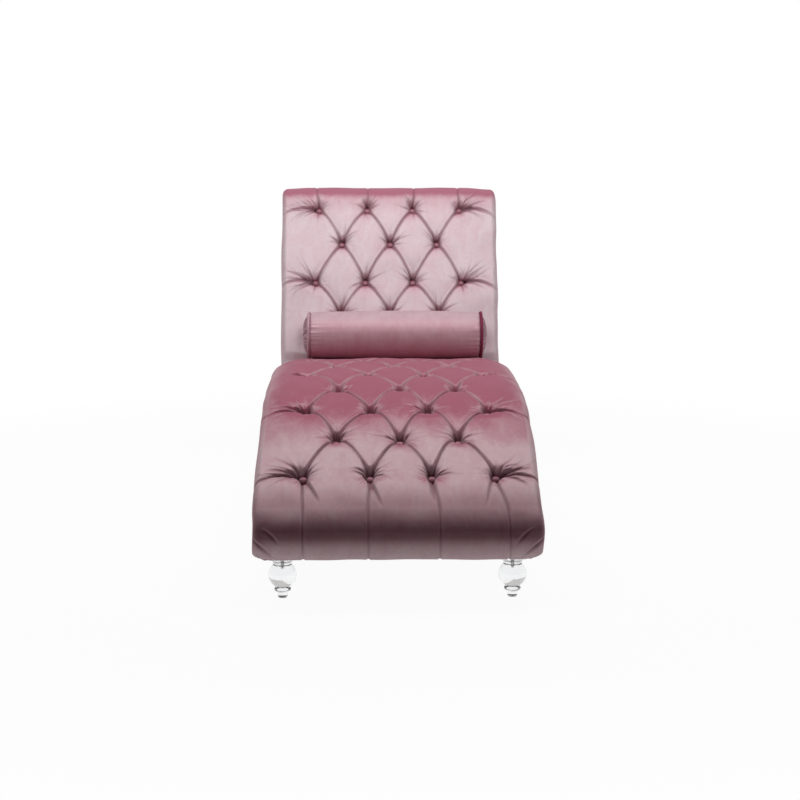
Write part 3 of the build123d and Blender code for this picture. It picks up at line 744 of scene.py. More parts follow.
def tuftField(q, s, pleats):  # depth of the folds: a narrow crease in a wide soft valley
    total, deepSum, wideSum, tipSum = (np.zeros(q.shape) for _ in range(4))
    for points, deep, wide, folded in pleats:
        low, high = points.min(0) - tufting["pleatNear"], points.max(0) + tufting["pleatNear"]
        near = (q > low[0]) & (q < high[0]) & (s > low[1]) & (s < high[1])
        spot = np.stack([q[near], s[near]], -1)
        gap = np.hypot(spot[:, None, 0] - points[:, 0], spot[:, None, 1] - points[:, 1])
        k = gap.argmin(1)
        away = gap[np.arange(len(k)), k]
        run = np.gradient(points, axis=0)
        run /= np.linalg.norm(run, axis=1)[:, None]
        off = spot - points[k]
        across = off[:, 0] * run[k, 1] - off[:, 1] * run[k, 0]
        inner = (k > 0) & (k < len(points) - 1)
        away = np.where(inner, np.abs(across), away)
        upper = across * np.where(run[k, 0] > 0, -1, 1) / (away + 3)  # 1 on the side of the next row
        weight = np.exp(-away / tufting["soften"])
        total[near] += weight
        deepSum[near] += weight * deep[k]
        wideSum[near] += weight * wide[k]
        tipSum[near] += weight * upper * folded
    tiny = 1e-12
    safe = np.maximum(total, tiny)
    d = np.maximum(-tufting["soften"] * np.log(safe), 0)
    wide = np.maximum(wideSum / safe, 1)
    deep = deepSum / safe * (total > tiny)
    tip = tipSum / safe
    firm = np.clip(deep / tufting["firmDepth"], 0, 1)
    valley = (1 - np.clip(d / wide, 0, 1)) ** tufting["swell"]
    width = np.minimum(tufting["foldWidth"] * (1 - tufting["foldLean"] * tip), 0.4 * wide)
    fold = np.exp(-((d / width) ** 1.3))
    lip = np.exp(-(((d - tufting["lipAway"]) / tufting["lipWidth"]) ** 2))  # rolled edge of the fold
    lip *= tufting["lip"] * firm * (0.7 + 0.3 * tip)
    # painted shade along the crease line
    line = np.exp(-((d / tufting["creaseLine"]) ** 2)) * firm
    return 0.5 * deep * (valley + fold) - lip, line


def funnelField(q, s, rows):  # pocket round each button, longer on the side of the next row
    depth = np.zeros(q.shape)
    below, above = tufting["funnelBelow"], tufting["funnelAbove"]
    for x0, s0 in eachButton(rows):
        dq, ds = q - x0, s - s0
        r = np.hypot(dq, ds)
        upward = 0.5 + 0.5 * ds / np.maximum(r, 1e-6)
        reach = below + (above - below) * upward**1.5
        pocket = np.clip(1 - r / reach, 0, 1) ** tufting["funnelPower"]
        depth = np.maximum(depth, tufting["funnelDepth"] * pocket)
    return depth


def gatherWaves(r, turn, rng):  # cloth gathered in the pocket, most above the button
    folds = rng.integers(14, 19)
    wave = np.sin(folds * turn + 0.9 * np.sin(3 * turn + rng.uniform(0, 6)) + rng.uniform(0, 6))
    upward = 0.3 + 0.7 * (0.5 + 0.5 * np.cos(turn)) ** 1.5
    uneven = 1 + 0.3 * np.sin(5 * turn + rng.uniform(0, 6))
    reach = tufting["gatherReach"] * (0.55 + 0.45 * upward) * uneven
    return tufting["gather"] * wave * upward * smooth(r, 8, 15) * np.exp(-((r / reach) ** 2))


def fanLine(r, turn, at, long, rng):  # one crease, a little bent, fading at both ends
    swing = turn - at - 0.14 * rng.normal() * r / 40
    swing = (swing + math.pi) % (2 * math.pi) - math.pi
    width = tufting["fanWidth"] * rng.uniform(0.8, 1.3)
    line = np.exp(-((r * np.sin(swing) / width) ** 2)) * (np.abs(swing) < 1.5)
    return line * np.exp(-((r / long) ** 2)) * smooth(r, 5, 13)


def fanField(q, s, rows, rng):  # small creases that run out from each button
    field, shade = np.zeros(q.shape), np.zeros(q.shape)
    for x0, s0 in eachButton(rows):
        near = np.hypot(q - x0, s - s0) < tufting["fanNear"]
        dq, ds = q[near] - x0, s[near] - s0
        r, turn = np.hypot(dq, ds), np.arctan2(dq, ds)
        outer = abs(x0) > tufting["outerFrom"]
        field[near] += gatherWaves(r, turn, rng)
        for i in range(rng.integers(13 if outer else 12, 16)):
            at = rng.normal(0, 0.85)
            long = tufting["fanReach"] * rng.uniform(0.6, 1.2)
            if outer and i > 1:  # towards the side edge
                at = math.copysign(rng.uniform(0.6, 1.95), x0)
                long *= rng.uniform(1.0, 2.0)
            elif i == 0:  # one short crease below the button
                at = math.pi + rng.normal(0, 0.5)
                long *= 0.7
            deep = tufting["fanDepth"] * rng.uniform(0.5, 1.2)
            line = fanLine(r, turn, at, long, rng)
            field[near] -= deep * line
            # painted shade along each fan crease
            shade[near] = np.maximum(shade[near], tufting["fanShade"] * line)
    return field, shade


def blushField(q, s, rows, rng):  # painted deep tone just below each button, added to the painted sheen and shade mask
    field = np.zeros(q.shape)
    for x0, s0 in eachButton(rows):
        dq = q - x0 - rng.uniform(-4, 4)
        ds = s - s0 + tufting["blushBelow"]
        spread = tufting["blushReach"] * rng.uniform(0.8, 1.25)
        strength = rng.uniform(0.7, 1.0)
        spot = np.exp(-((dq / (1.3 * spread)) ** 2) - (ds / (0.75 * spread)) ** 2)
        field = np.maximum(field, strength * spot)
    return field


def lumpField(q, s, rng):  # broad uneven swelling of the padding
    field = np.zeros(q.shape)
    for size, height in ((230, 1.2), (110, 0.5)):
        for _ in range(4):
            turn = rng.uniform(0, math.pi)
            wave = (q * math.cos(turn) + s * math.sin(turn)) / size * rng.uniform(0.8, 1.25)
            field += height * 0.5 * np.sin(2 * math.pi * wave + rng.uniform(0, 6.28))
    return field


def padField(q, s, rows, pleats, rng):  # height of the cover, painted shade along the creases, painted deep tone below the buttons
    folds, line = tuftField(q, s, pleats)
    lip = np.minimum(folds, 0)
    folds = (np.maximum(folds, 0) ** 3 + funnelField(q, s, rows) ** 3) ** (1 / 3) + lip
    fans, shade = fanField(q, s, rows, rng)
    height = lumpField(q, s, rng) + fans - folds
    return height, np.maximum(line, shade), blushField(q, s, rows, rng)


def nearEdge(x):  # 0 over most of the width, 1 at the side edge
    return np.clip((np.abs(x) - tufting["shoulderFrom"]) / tufting["shoulderSpan"], 0, 1)


def buildPad(chain, along, thickness, drop, field, shoulder=0.0):
    round_ = sideLine["edgeRound"]
    flat = sideLine["halfWidth"] - round_
    middle = np.linspace(-flat, flat, int(2 * flat / tufting["step"]) + 1)
    phi = np.linspace(0, math.pi / 2, 11)[1:]
    wall = np.linspace(0, 1, 10)[1:]
    turn = np.concatenate([phi, 0 * wall + math.pi / 2])
    down = np.concatenate([0 * phi, wall])
    edge = flat + turn * round_ + down * tufting["wall"]
    q = np.concatenate([-edge[::-1], middle, edge])
    turn = np.concatenate([turn[::-1], 0 * middle, turn])
    down = np.concatenate([down[::-1], 0 * middle, down])
    hand = np.sign(q)
    qq, ss = np.meshgrid(q, along)
    h, line, blush = field(qq, ss)
    h = h * (1 - down) ** 0.8
    spot, normal = chainAt(chain, along)
    bend = np.minimum(round_, 0.6 * thickness)[:, None]
    shoulder = np.broadcast_to(shoulder, along.shape)[:, None]
    x = np.where(np.abs(qq) <= flat, qq, hand * (flat + round_ * np.sin(turn)))
    edgeDrop = np.minimum(tufting["edgeFall"], 0.1 * thickness)[:, None]
    edgeDrop = edgeDrop * smooth(np.abs(qq), flat - tufting["edgeSoft"], flat)
    edgeDrop = edgeDrop + shoulder * nearEdge(x) ** 2.2 * (1 - down)
    edgeDrop = edgeDrop + bend * (1 - np.cos(turn)) + (thickness[:, None] - bend) * down
    up = drop[:, None] * (1 - 0.5 * np.sin(turn)) * (1 - down) - edgeDrop + h * np.cos(turn)
    x = x + hand * h * np.sin(turn)
    y = spot[:, None, 0] + normal[:, None, 0] * up
    z = spot[:, None, 1] + normal[:, None, 1] * up
    x = x - hand * tuckUnder(z) * nearEdge(x)
    rows, columns = qq.shape
    points = np.stack([x, y, z], -1).reshape(-1, 3)
    faces = gridFaces(rows, columns)
    at = np.arange(rows * columns).reshape(rows, columns)
    faces += np.stack([at[:-1, 0], at[1:, 0], at[1:, -1], at[:-1, -1]], -1).tolist()  # flat underside
    faces += [at[0].tolist(), at[-1][::-1].tolist()]
    # painted shade: deep recesses and crease lines take the pocket colour
    pocket = np.clip((-h - tufting["pocketFrom"]) / tufting["pocketSpan"], 0, 1)
    pocket = np.maximum(pocket, tufting["creaseShade"] * line)
    tilt = np.degrees(np.arcsin(normal[:, None, 1] + 0 * qq))
    return points, faces, pocket.reshape(-1), np.stack([tilt.reshape(-1), blush.reshape(-1)])


bolsterSpot = {
    "x": 13.0,
    "y": 456.8,
    "z": 425.5,
    "radius": 70.0,
    "clear": 0.6,
    "give": 4.0,
    "dentFull": 263.0,
    "dentGone": 295.0,
}


def clearBolster(points):  # the pads give way where the bolster lies on them
    dy, dz = points[:, 1] - bolsterSpot["y"], points[:, 2] - bolsterSpot["z"]
    r = np.hypot(dy, dz)
    want = bolsterSpot["radius"] + bolsterSpot["clear"]
    aside = np.abs(points[:, 0] - bolsterSpot["x"])
    push = bolsterSpot["give"] * np.logaddexp(0, (want - r) / bolsterSpot["give"])
    push *= 1 - smooth(aside, bolsterSpot["dentFull"], bolsterSpot["dentGone"])
    grow = 1 + push / np.maximum(r, 1)
    points[:, 1] = bolsterSpot["y"] + dy * grow
    points[:, 2] = bolsterSpot["z"] + dz * grow
    return points


def storeMask(obj, name, values):
    layer = obj.data.attributes.new(name, "FLOAT", "POINT")
    layer.data.foreach_set("value", np.asarray(values, np.float32))


def seatPad():
    rng = np.random.default_rng(11)
    reach = creaseAlong + sideLine["tuckReach"]
    along = np.linspace(0, reach, int(reach / tufting["step"]))
    drop = curveAt(seatTuck, along - creaseAlong) + tufting["crown"]
    drop = drop * smooth(along, 0, 120)
    drop -= tufting["noseCut"] * np.exp(-(((along - tufting["noseAt"]) / tufting["noseSpan"]) ** 2))
    drop += tufting["frontSag"] * smooth(along, 0, 18) * (1 - smooth(along, 40, rollStart + 10))
    pleats = seatPleats(rng)

    def field(q, s):
        return padField(q, s, seatRows, pleats, rng)

    shoulder = tufting["shoulder"] * climbShare(along) + tufting["crestShoulder"] * crestShare(along)
    made = buildPad(seatChain, along, padThicknessSeat(along), drop, field, shoulder)
    points, faces, pocket, tilt = made
    obj = meshObject("seatPad", clearBolster(points), faces, velvets["seatVelvet"])
    columns = len(pocket) // len(along)
    # less painted shade in the creases over the crest
    storeMask(obj, "pocket", pocket * np.repeat(1 - tufting["crestPale"] * crestShare(along), columns))
    # painted shade under the nose
    storeMask(obj, "shade", np.repeat(curveAt(noseShade, along), columns))
    return obj, tilt


def backPad():
    rng = np.random.default_rng(23)
    tuck, rise = tufting["backTuck"], sideLine["backRise"]
    along = np.linspace(-tuck, backEnd, int((backEnd + tuck) / tufting["step"]))
    drop = tufting["crown"] * smooth(-along, -backEnd, -rise)
    drop -= tufting["backDip"] * (1 - smooth(along, -16, 16))
    pleats = backPleats(rng)

    def field(q, s):
        height, line, blush = padField(q, s, backRows, pleats, rng)
        # painted deep tone over the top roll, where the faces turn up
        top = tufting["topBlush"] * smooth(s, rise - tufting["topBlushBelow"], rise + 6)
        return height, line, np.maximum(blush, top)

    points, faces, pocket, tilt = buildPad(backChain, along, padThicknessBack(along), drop, field)
    obj = meshObject("backPad", clearBolster(points), faces, velvets["backVelvet"])
    storeMask(obj, "pocket", pocket)
    return obj, tilt


seatPiece, seatTilt = seatPad()
backPiece, backTilt = backPad()
print("pads:", len(seatPiece.data.polygons), len(backPiece.data.polygons), "faces")

# covered buttons

buttonSize = {
    "diameter": 19.0,
    "height": 7.5,
    "seatSit": 8.5,
    "backSit": 6.0,
    "gather": 0.035,
    "gathers": 14,
    "flatten": 0.6,
    "capDiameter": 20.0,
    "capHeight": 6.0,
}


def buttonTree():
    tree = bpy.data.node_groups.new("coveredButtons", "GeometryNodeTree")
    sockets = [
        ("Geometry", "NodeSocketGeometry"),
        ("Diameter", "NodeSocketFloat"),
        ("Height", "NodeSocketFloat"),
        ("Gather", "NodeSocketFloat"),
        ("Cloth", "NodeSocketMaterial"),
    ]
    for label, kind in sockets:
        tree.interface.new_socket(label, in_out="INPUT", socket_type=kind)
    tree.interface.new_socket("Geometry", in_out="OUTPUT", socket_type="NodeSocketGeometry")
    given, out = tree.nodes.new("NodeGroupInput"), tree.nodes.new("NodeGroupOutput")
    ball = tree.nodes.new("GeometryNodeMeshUVSphere")
    ball.inputs["Segments"].default_value = 28
    ball.inputs["Rings"].default_value = 14
    ball.inputs["Radius"].default_value = 1.0
    place = tree.nodes.new("GeometryNodeInputPosition").outputs[0]
    parts = tree.nodes.new("ShaderNodeSeparateXYZ")
    tree.links.new(place, parts.inputs[0])
    turn = mathNode(tree, "ARCTAN2", parts.outputs["Y"], parts.outputs["X"])
    ripple = mathNode(tree, "COSINE", mathNode(tree, "MULTIPLY", turn, buttonSize["gathers"]))
    rim = mathNode(tree, "SUBTRACT", 1, mathNode(tree, "ABSOLUTE", parts.outputs["Z"]))
    swell = mathNode(tree, "MULTIPLY", ripple, rim)
    swell = mathNode(tree, "ADD", 1, mathNode(tree, "MULTIPLY", swell, given.outputs["Gather"]))
    half = mathNode(tree, "MULTIPLY", given.outputs["Diameter"], 0.5)
    radius = mathNode(tree, "MULTIPLY", half, swell)
    below = mathNode(tree, "LESS_THAN", parts.outputs["Z"], 0)
    keep = mathNode(tree, "SUBTRACT", 1, mathNode(tree, "MULTIPLY", below, buttonSize["flatten"]))
    lift = mathNode(tree, "MULTIPLY", parts.outputs["Z"], keep)
    lift = mathNode(tree, "MULTIPLY", lift, given.outputs["Height"])
    joined = tree.nodes.new("ShaderNodeCombineXYZ")
    tree.links.new(mathNode(tree, "MULTIPLY", parts.outputs["X"], radius), joined.inputs["X"])
    tree.links.new(mathNode(tree, "MULTIPLY", parts.outputs["Y"], radius), joined.inputs["Y"])
    tree.links.new(lift, joined.inputs["Z"])
    shaped = tree.nodes.new("GeometryNodeSetPosition")
    tree.links.new(ball.outputs["Mesh"], shaped.inputs["Geometry"])
    tree.links.new(joined.outputs[0], shaped.inputs["Position"])
    outward = tree.nodes.new("GeometryNodeInputNamedAttribute")
    outward.data_type = "FLOAT_VECTOR"
    outward.inputs["Name"].default_value = "outward"
    aim = tree.nodes.new("FunctionNodeAlignRotationToVector")
    aim.axis = "Z"
    tree.links.new(outward.outputs[0], aim.inputs["Vector"])
    spread = tree.nodes.new("GeometryNodeInstanceOnPoints")
    tree.links.new(given.outputs["Geometry"], spread.inputs["Points"])
    tree.links.new(shaped.outputs[0], spread.inputs["Instance"])
    tree.links.new(aim.outputs[0], spread.inputs["Rotation"])
    real = tree.nodes.new("GeometryNodeRealizeInstances")
    round_ = tree.nodes.new("GeometryNodeSetShadeSmooth")
    dress = tree.nodes.new("GeometryNodeSetMaterial")
    tree.links.new(spread.outputs[0], real.inputs[0])
    tree.links.new(real.outputs[0], round_.inputs[0])
    tree.links.new(round_.outputs[0], dress.inputs["Geometry"])
    tree.links.new(given.outputs["Cloth"], dress.inputs["Material"])
    tree.links.new(dress.outputs[0], out.inputs[0])
    return tree


def treeMesh(name, points, outward, tree, values):  # run a node tree on points, keep the plain mesh
    mesh = bpy.data.meshes.new(name + "Spots")
    mesh.from_pydata([tuple(p) for p in np.asarray(points) * mm], [], [])
    layer = mesh.attributes.new("outward", "FLOAT_VECTOR", "POINT")
    layer.data.foreach_set("vector", np.asarray(outward, np.float32).ravel())
    obj = bpy.data.objects.new(name, mesh)
    scene.collection.objects.link(obj)
    modifier = obj.modifiers.new("spread", "NODES")
    modifier.node_group = tree
    for item in tree.interface.items_tree:
        if item.in_out == "INPUT" and item.name in values:
            modifier[item.identifier] = values[item.name]
    bpy.context.view_layer.update()
    made = bpy.data.meshes.new_from_object(obj.evaluated_get(bpy.context.evaluated_depsgraph_get()))
    obj.modifiers.remove(modifier)
    obj.data = made
    made.name = name
    return obj


def rowSpots(chain, rows, sit):
    points, outward = [], []
    for x, along in eachButton(rows):
        spot, normal = chainAt(chain, along)
        points.append((x, *(spot + normal * (sit - tufting["buttonDepth"]))))
        outward.append((0, *normal))
    return points, outward


buttons = buttonTree()
buttonValues = {
    "Diameter": buttonSize["diameter"] * mm,
    "Height": buttonSize["height"] * mm,
    "Gather": buttonSize["gather"],
    "Cloth": velvets["buttonVelvet"],
}
seatSpots = rowSpots(seatChain, seatRows, buttonSize["seatSit"])
backSpots = rowSpots(backChain, backRows, buttonSize["backSit"])
seatButtons = treeMesh("seatButtons", *seatSpots, buttons, buttonValues)
backButtons = treeMesh("backButtons", *backSpots, buttons, buttonValues)
print("buttons:", len(seatButtons.data.polygons), "faces on the seat")

# plain panels at the sides and behind

panelForm = {
    "proud": 1.2,
    "groove": 2.0,
    "grooveWidth": 6.0,
    "wave": 0.5,
    "inside": 313.0,
    "thinnest": 1.5,
    "tuck": 3.0,
    "rearRound": 6.0,
    "spacing": 11.0,
    "edgeKeep": 5.0,
    "rearKeep": 14.0,
    "rearBands": (1.2, 2.6, 4.2, 6.0, 9.5),
    "bandStep": 8.0,
}
rearForm = {
    "play": 0.2,
    "step": 9.0,
    "proud": 1.0,
    "groove": 2.2,
    "grooveWidth": 5.0,
    "wave": 0.6,
    "thickness": 4.0,
}


def backPoint(along, depth):
    y = crease[0] + along * math.sin(lean) + depth * math.cos(lean)
    z = crease[1] + along * math.cos(lean) - depth * math.sin(lean)
    return np.array([y, z])


def rearLine(depth, step):  # outer line of the back, from under the roll to the underside
    start, bend = backPoint(sideLine["backRise"], depth), backPoint(sideLine["rearBendAt"], depth)
    radius = sideLine["rearRadius"] + sideLine["backThickness"] - depth
    first = np.linalg.norm(start - bend)
    arc = radius * lean
    heading = math.degrees(math.atan2(-math.cos(lean), -math.sin(lean)))
    chain, _ = chainOf(start, heading, [(first, 0), (arc, sideLine["recline"]), (1, 0)])
    foot = chainAt(chain, first + arc)[0]
    total = first + arc + foot[1] - sideLine["underside"]
    along = np.linspace(0, total, int(total / step) + 1)
    spot, normal = chainAt(chain, along)
    return along, spot, normal


def panelOutline():
    along = np.linspace(0, creaseAlong + sideLine["tuckReach"], 260)
    spot, normal = chainAt(seatChain, along)
    seat = spot - normal * padThicknessSeat(along)[:, None]
    along = np.linspace(0, backEnd, 120)
    spot, normal = chainAt(backChain, along)
    back = spot - normal * padThicknessBack(along)[:, None]
    rear = rearLine(sideLine["backThickness"], panelForm["bandStep"])[1]
    bottom = np.linspace(rear[-1], seatStart, 160)[1:]
    return np.concatenate([seat, back]), rear[1:], bottom


def edgeDistance(points, line):
    best = np.full(len(points), 1e9)
    for a, b in zip(line, line[1:]):
        run = b - a
        size = max(run @ run, 1e-9)
        t = np.clip(((points - a) @ run) / size, 0, 1)
        best = np.minimum(best, np.linalg.norm(points - a - t[:, None] * run, axis=1))
    return best


def panelPoints(outline, rear):  # an even grid inside the outline, and close rows along the rounded rear edge
    low, high = outline.min(0), outline.max(0)
    ys, zs = (np.arange(a, b, panelForm["spacing"]) for a, b in zip(low, high))
    inner = np.stack(np.meshgrid(ys, zs), -1).reshape(-1, 2)
    closed = np.concatenate([outline, outline[:1]])
    clear = edgeDistance(inner, closed) > panelForm["edgeKeep"]
    clear &= edgeDistance(inner, rear) > panelForm["rearKeep"]
    depths = [sideLine["backThickness"] - gap for gap in panelForm["rearBands"]]
    bands = [rearLine(depth, panelForm["bandStep"])[1][1:-1] for depth in depths]
    return np.concatenate([outline, inner[clear]] + bands)


def sidePanel(name, hand):
    seam, rear, bottom = panelOutline()
    outline = np.concatenate([seam, rear, bottom[:-1]])
    points = [Vector(p) for p in panelPoints(outline, rear)]
    made = geometry.delaunay_2d_cdt(points, [], [list(range(len(outline)))], 1, 1e-5)
    flat = np.array([tuple(v) for v in made[0]])
    tris = [list(f) for f in made[2]]
    toSeam = edgeDistance(flat, seam)
    toRear = edgeDistance(flat, rear)
    wave = np.sin(flat[:, 0] / 61) * np.sin(flat[:, 1] / 47 + 0.7)
    x = sideLine["halfWidth"] + panelForm["proud"]
    x = x - panelForm["groove"] * np.exp(-toSeam / panelForm["grooveWidth"])
    x -= roundOff(toRear, panelForm["rearRound"])
    x += panelForm["wave"] * wave * smooth(np.minimum(toSeam, toRear), 0, 40)
    x -= np.minimum(tuckUnder(flat[:, 1]), panelForm["tuck"])
    innerX = np.minimum(panelForm["inside"], x - panelForm["thinnest"])
    outerFace = np.column_stack([hand * x, flat])
    innerFace = np.column_stack([hand * innerX, flat])
    count = len(flat)
    edges = [(a, b) for f in tris for a, b in zip(f, f[1:] + f[:1])]
    known = set(edges)
    rim = [(a, b) for a, b in edges if (b, a) not in known]
    faces = tris + [[i + count for i in reversed(f)] for f in tris]
    faces += [[b, a, a + count, b + count] for a, b in rim]
    return meshObject(name, np.concatenate([outerFace, innerFace]), faces, velvets["panelVelvet"])


def rearPanel():
    along, spot, normal = rearLine(sideLine["backThickness"], rearForm["step"])
    half = panelForm["inside"] - rearForm["play"]
    xx, aa = np.meshgrid(np.linspace(-half, half, 70), along)
    edge = np.minimum(half - np.abs(xx), aa + 3)
    wave = np.sin(xx / 70 + 0.4) * np.sin(aa / 83) * smooth(edge, 0, 60)
    groove = rearForm["groove"] * np.exp(-edge / rearForm["grooveWidth"])
    up = rearForm["proud"] - groove + rearForm["wave"] * wave
    y = spot[:, None, 0] + normal[:, None, 0] * up
    z = spot[:, None, 1] + normal[:, None, 1] * up
    y = y - np.minimum(tuckUnder(np.broadcast_to(spot[:, None, 1], y.shape)), panelForm["tuck"])
    innerY = y - normal[:, None, 0] * rearForm["thickness"]
    innerZ = z - normal[:, None, 1] * rearForm["thickness"]
    faceLayers = [np.stack([xx, y, z], -1).reshape(-1, 3), np.stack([xx, innerY, innerZ], -1).reshape(-1, 3)]
    rows, columns = xx.shape
    count = rows * columns
    faces = gridFaces(rows, columns) + [f[::-1] for f in gridFaces(rows, columns, count)]
    at = np.arange(count).reshape(rows, columns)
    for line in (at[0], at[-1], at[:, 0], at[:, -1]):
        faces += [[a, b, b + count, a + count] for a, b in zip(line.tolist(), line[1:].tolist())]
    return meshObject("rearPanel", np.concatenate(faceLayers), faces, velvets["panelVelvet"])


leftPanel = sidePanel("leftPanel", -1)
rightPanel = sidePanel("rightPanel", 1)
backPanel = rearPanel()
print("panels:", len(leftPanel.data.polygons), "faces each side")

# dust cover under the frame

dustCloth = {
    "halfWidth": 309.0,
    "front": 68.0,
    "rear": 1388.0,
    "height": 100.4,
    "sag": 1.4,
    "footLine": 254.0,
}


def dustSheet():
    xs = np.linspace(-dustCloth["halfWidth"], dustCloth["halfWidth"], 48)
    ys = np.linspace(dustCloth["front"], dustCloth["rear"], 100) - sideLine["middle"]
    xx, yy = np.meshgrid(xs, ys)
    across = np.cos(xx / dustCloth["halfWidth"] * math.pi / 2)
    lengthwise = np.sin((yy - ys[0]) / (ys[-1] - ys[0]) * math.pi)
    fromFeet = np.abs(np.abs(xx) - dustCloth["footLine"])  # held flat near the feet
    z = dustCloth["height"] - dustCloth["sag"] * across * lengthwise * smooth(fromFeet, 40, 120)
    points = np.stack([xx, yy, z], -1).reshape(-1, 3)
    return meshObject("dustSheet", points, gridFaces(*xx.shape), cambricLook)


dustPiece = dustSheet()

# loose bolster

bolsterForm = {
    "halfLength": 242.0,
    "endRadius": 66.0,
    "gather": 2.3,
    "gatherReach": 16.0,
    "gathers": 34,
    "pipingRing": 63.5,
    "pipingRadius": 4.0,
    "capRadius": 60.0,
    "capRim": 3.0,
    "capBulge": 20.0,
    "capPleats": 38,
    "capDimple": 5.0,
    "capDimpleReach": 11.0,
    "capFold": 3.4,
    "endRound": 7.0,
    "endDraw": 5.0,
    "around": 240,
    "capAround": 228,
}


def unevenWaves(turn, count, rng):  # folds of uneven width round a ring
    spots = np.sort((np.arange(count) + rng.uniform(-0.33, 0.33, count)) * 2 * math.pi / count)
    heights = rng.uniform(0.2, 1.0, count)
    field = np.zeros(np.shape(turn))
    width = 0.30 * 2 * math.pi / count
    for at, height in zip(spots, heights):
        swing = (turn - at + math.pi) % (2 * math.pi) - math.pi
        field += height * np.exp(-((swing / width) ** 2))
    return field


def fullTurn(count):
    return np.linspace(0, 2 * math.pi, count, endpoint=False)


def ringFaces(at):  # rows of points closed round a ring
    nextAt = np.roll(at, -1, axis=1)
    return np.stack([at[:-1], nextAt[:-1], nextAt[1:], at[1:]], -1).reshape(-1, 4).tolist()


def ringPoints(x, radius, turn):
    y = bolsterSpot["y"] + radius * np.sin(turn)
    z = bolsterSpot["z"] + radius * np.cos(turn)
    return np.stack([bolsterSpot["x"] + x, y, z], -1).reshape(-1, 3)


def bolsterTube():
    rng = np.random.default_rng(31)
    half, endRound = bolsterForm["halfLength"], bolsterForm["endRound"]
    inner = half - endRound
    end = inner + endRound * np.sin(np.linspace(0, math.pi / 2, 8)[1:])
    x = np.concatenate([-end[::-1], np.linspace(-inner, inner, 150), end])
    xx, tt = np.meshgrid(x, fullTurn(bolsterForm["around"]), indexing="ij")
    swell = bolsterSpot["radius"] - bolsterForm["endRadius"]
    radius = bolsterForm["endRadius"] + swell * (1 - (xx / half) ** 2)
    left = np.clip(np.abs(xx) - inner, 0, endRound)
    radius -= bolsterForm["endDraw"] * (1 - np.sqrt(np.maximum(1 - (left / endRound) ** 2, 0)))
    for hand in (-1, 1):
        folds = unevenWaves(tt, bolsterForm["gathers"], rng)
        reach = bolsterForm["gatherReach"] * (1 + 0.5 * np.sin(3 * tt + hand))
        fade = np.exp(-(half - hand * xx) / reach) * (hand * xx > 0)
        radius -= bolsterForm["gather"] * (1 - folds) * fade
    radius += 0.4 * np.sin(xx / 55 + 2 * np.sin(tt)) * np.sin(2 * tt + 0.6) - 0.4
    rows, columns = xx.shape
    at = np.arange(rows * columns).reshape(rows, columns)
    faces = ringFaces(at) + [at[0].tolist(), at[-1][::-1].tolist()]
    return meshObject("bolsterTube", ringPoints(xx, radius, tt), faces, velvets["bolsterVelvet"])


def bolsterCap(name, hand):
    rng = np.random.default_rng(41 + hand)
    half, rim = bolsterForm["halfLength"], bolsterForm["capRim"]
    turn = fullTurn(bolsterForm["capAround"])
    r = bolsterForm["capRadius"] * np.sqrt(np.linspace(0.0012, 1, 34))
    rr, tt = np.meshgrid(r, turn, indexing="ij")
    share = rr / bolsterForm["capRadius"]
    bulge = rim + (bolsterForm["capBulge"] - rim) * (1 - share**4)
    bulge -= bolsterForm["capDimple"] * np.exp(-((rr / bolsterForm["capDimpleReach"]) ** 2))
    folds = unevenWaves(tt + 0.1 * np.sin(5 * share), bolsterForm["capPleats"], rng)
    fade = smooth(share, 0.08, 0.5) * (1 - 0.4 * smooth(share, 0.86, 1))
    bulge += bolsterForm["capFold"] * (folds - 0.6) * fade
    outerFace = ringPoints(hand * (half + bulge), rr, tt)
    base = ringPoints(0 * turn + hand * half, bolsterForm["capRadius"], turn)
    rows, columns = rr.shape
    at = np.arange((rows + 1) * columns).reshape(rows + 1, columns)  # the last row is the flat base
    faces = ringFaces(at) + [at[0][::-1].tolist(), at[-1].tolist()]
    obj = meshObject(name, np.concatenate([outerFace, base]), faces, velvets["bolsterVelvet"])
    # painted shade in the valleys of the cap pleats
    storeMask(obj, "pocket", np.concatenate([np.clip(0.75 - folds, 0, 0.7).ravel(), np.zeros(columns)]))
    return obj


def bolsterPiping(name, hand):
    rr, tt = np.meshgrid(fullTurn(16), fullTurn(200), indexing="ij")
    size = bolsterForm["pipingRadius"] + 0.22 * np.sin(70 * tt + 2 * rr)
    x = hand * (bolsterForm["halfLength"] + bolsterForm["pipingRadius"]) + size * np.cos(rr)
    radius = bolsterForm["pipingRing"] + size * np.sin(rr)
    at = np.arange(rr.size).reshape(rr.shape)
    faces = ringFaces(np.concatenate([at, at[:1]]))
    return meshObject(name, ringPoints(x, radius, tt), faces, velvets["pipingVelvet"])


bolsterPiece = bolsterTube()
leftCap = bolsterCap("bolsterLeftCap", -1)
rightCap = bolsterCap("bolsterRightCap", 1)
leftPiping = bolsterPiping("bolsterLeftPiping", -1)
rightPiping = bolsterPiping("bolsterRightPiping", 1)
capTip = bolsterForm["halfLength"] + bolsterForm["capBulge"] - bolsterForm["capDimple"] + 1
capSpots = [(bolsterSpot["x"] + hand * capTip, bolsterSpot["y"], bolsterSpot["z"]) for hand in (-1, 1)]
capOutward = [(hand, 0, 0) for hand in (-1, 1)]
capSizes = {"Diameter": buttonSize["capDiameter"] * mm, "Height": buttonSize["capHeight"] * mm}
capButtons = treeMesh("bolsterCapButtons", capSpots, capOutward, buttons, {**buttonValues, **capSizes})
print("bolster:", len(bolsterPiece.data.polygons), "faces")

# materials of the solids that stay

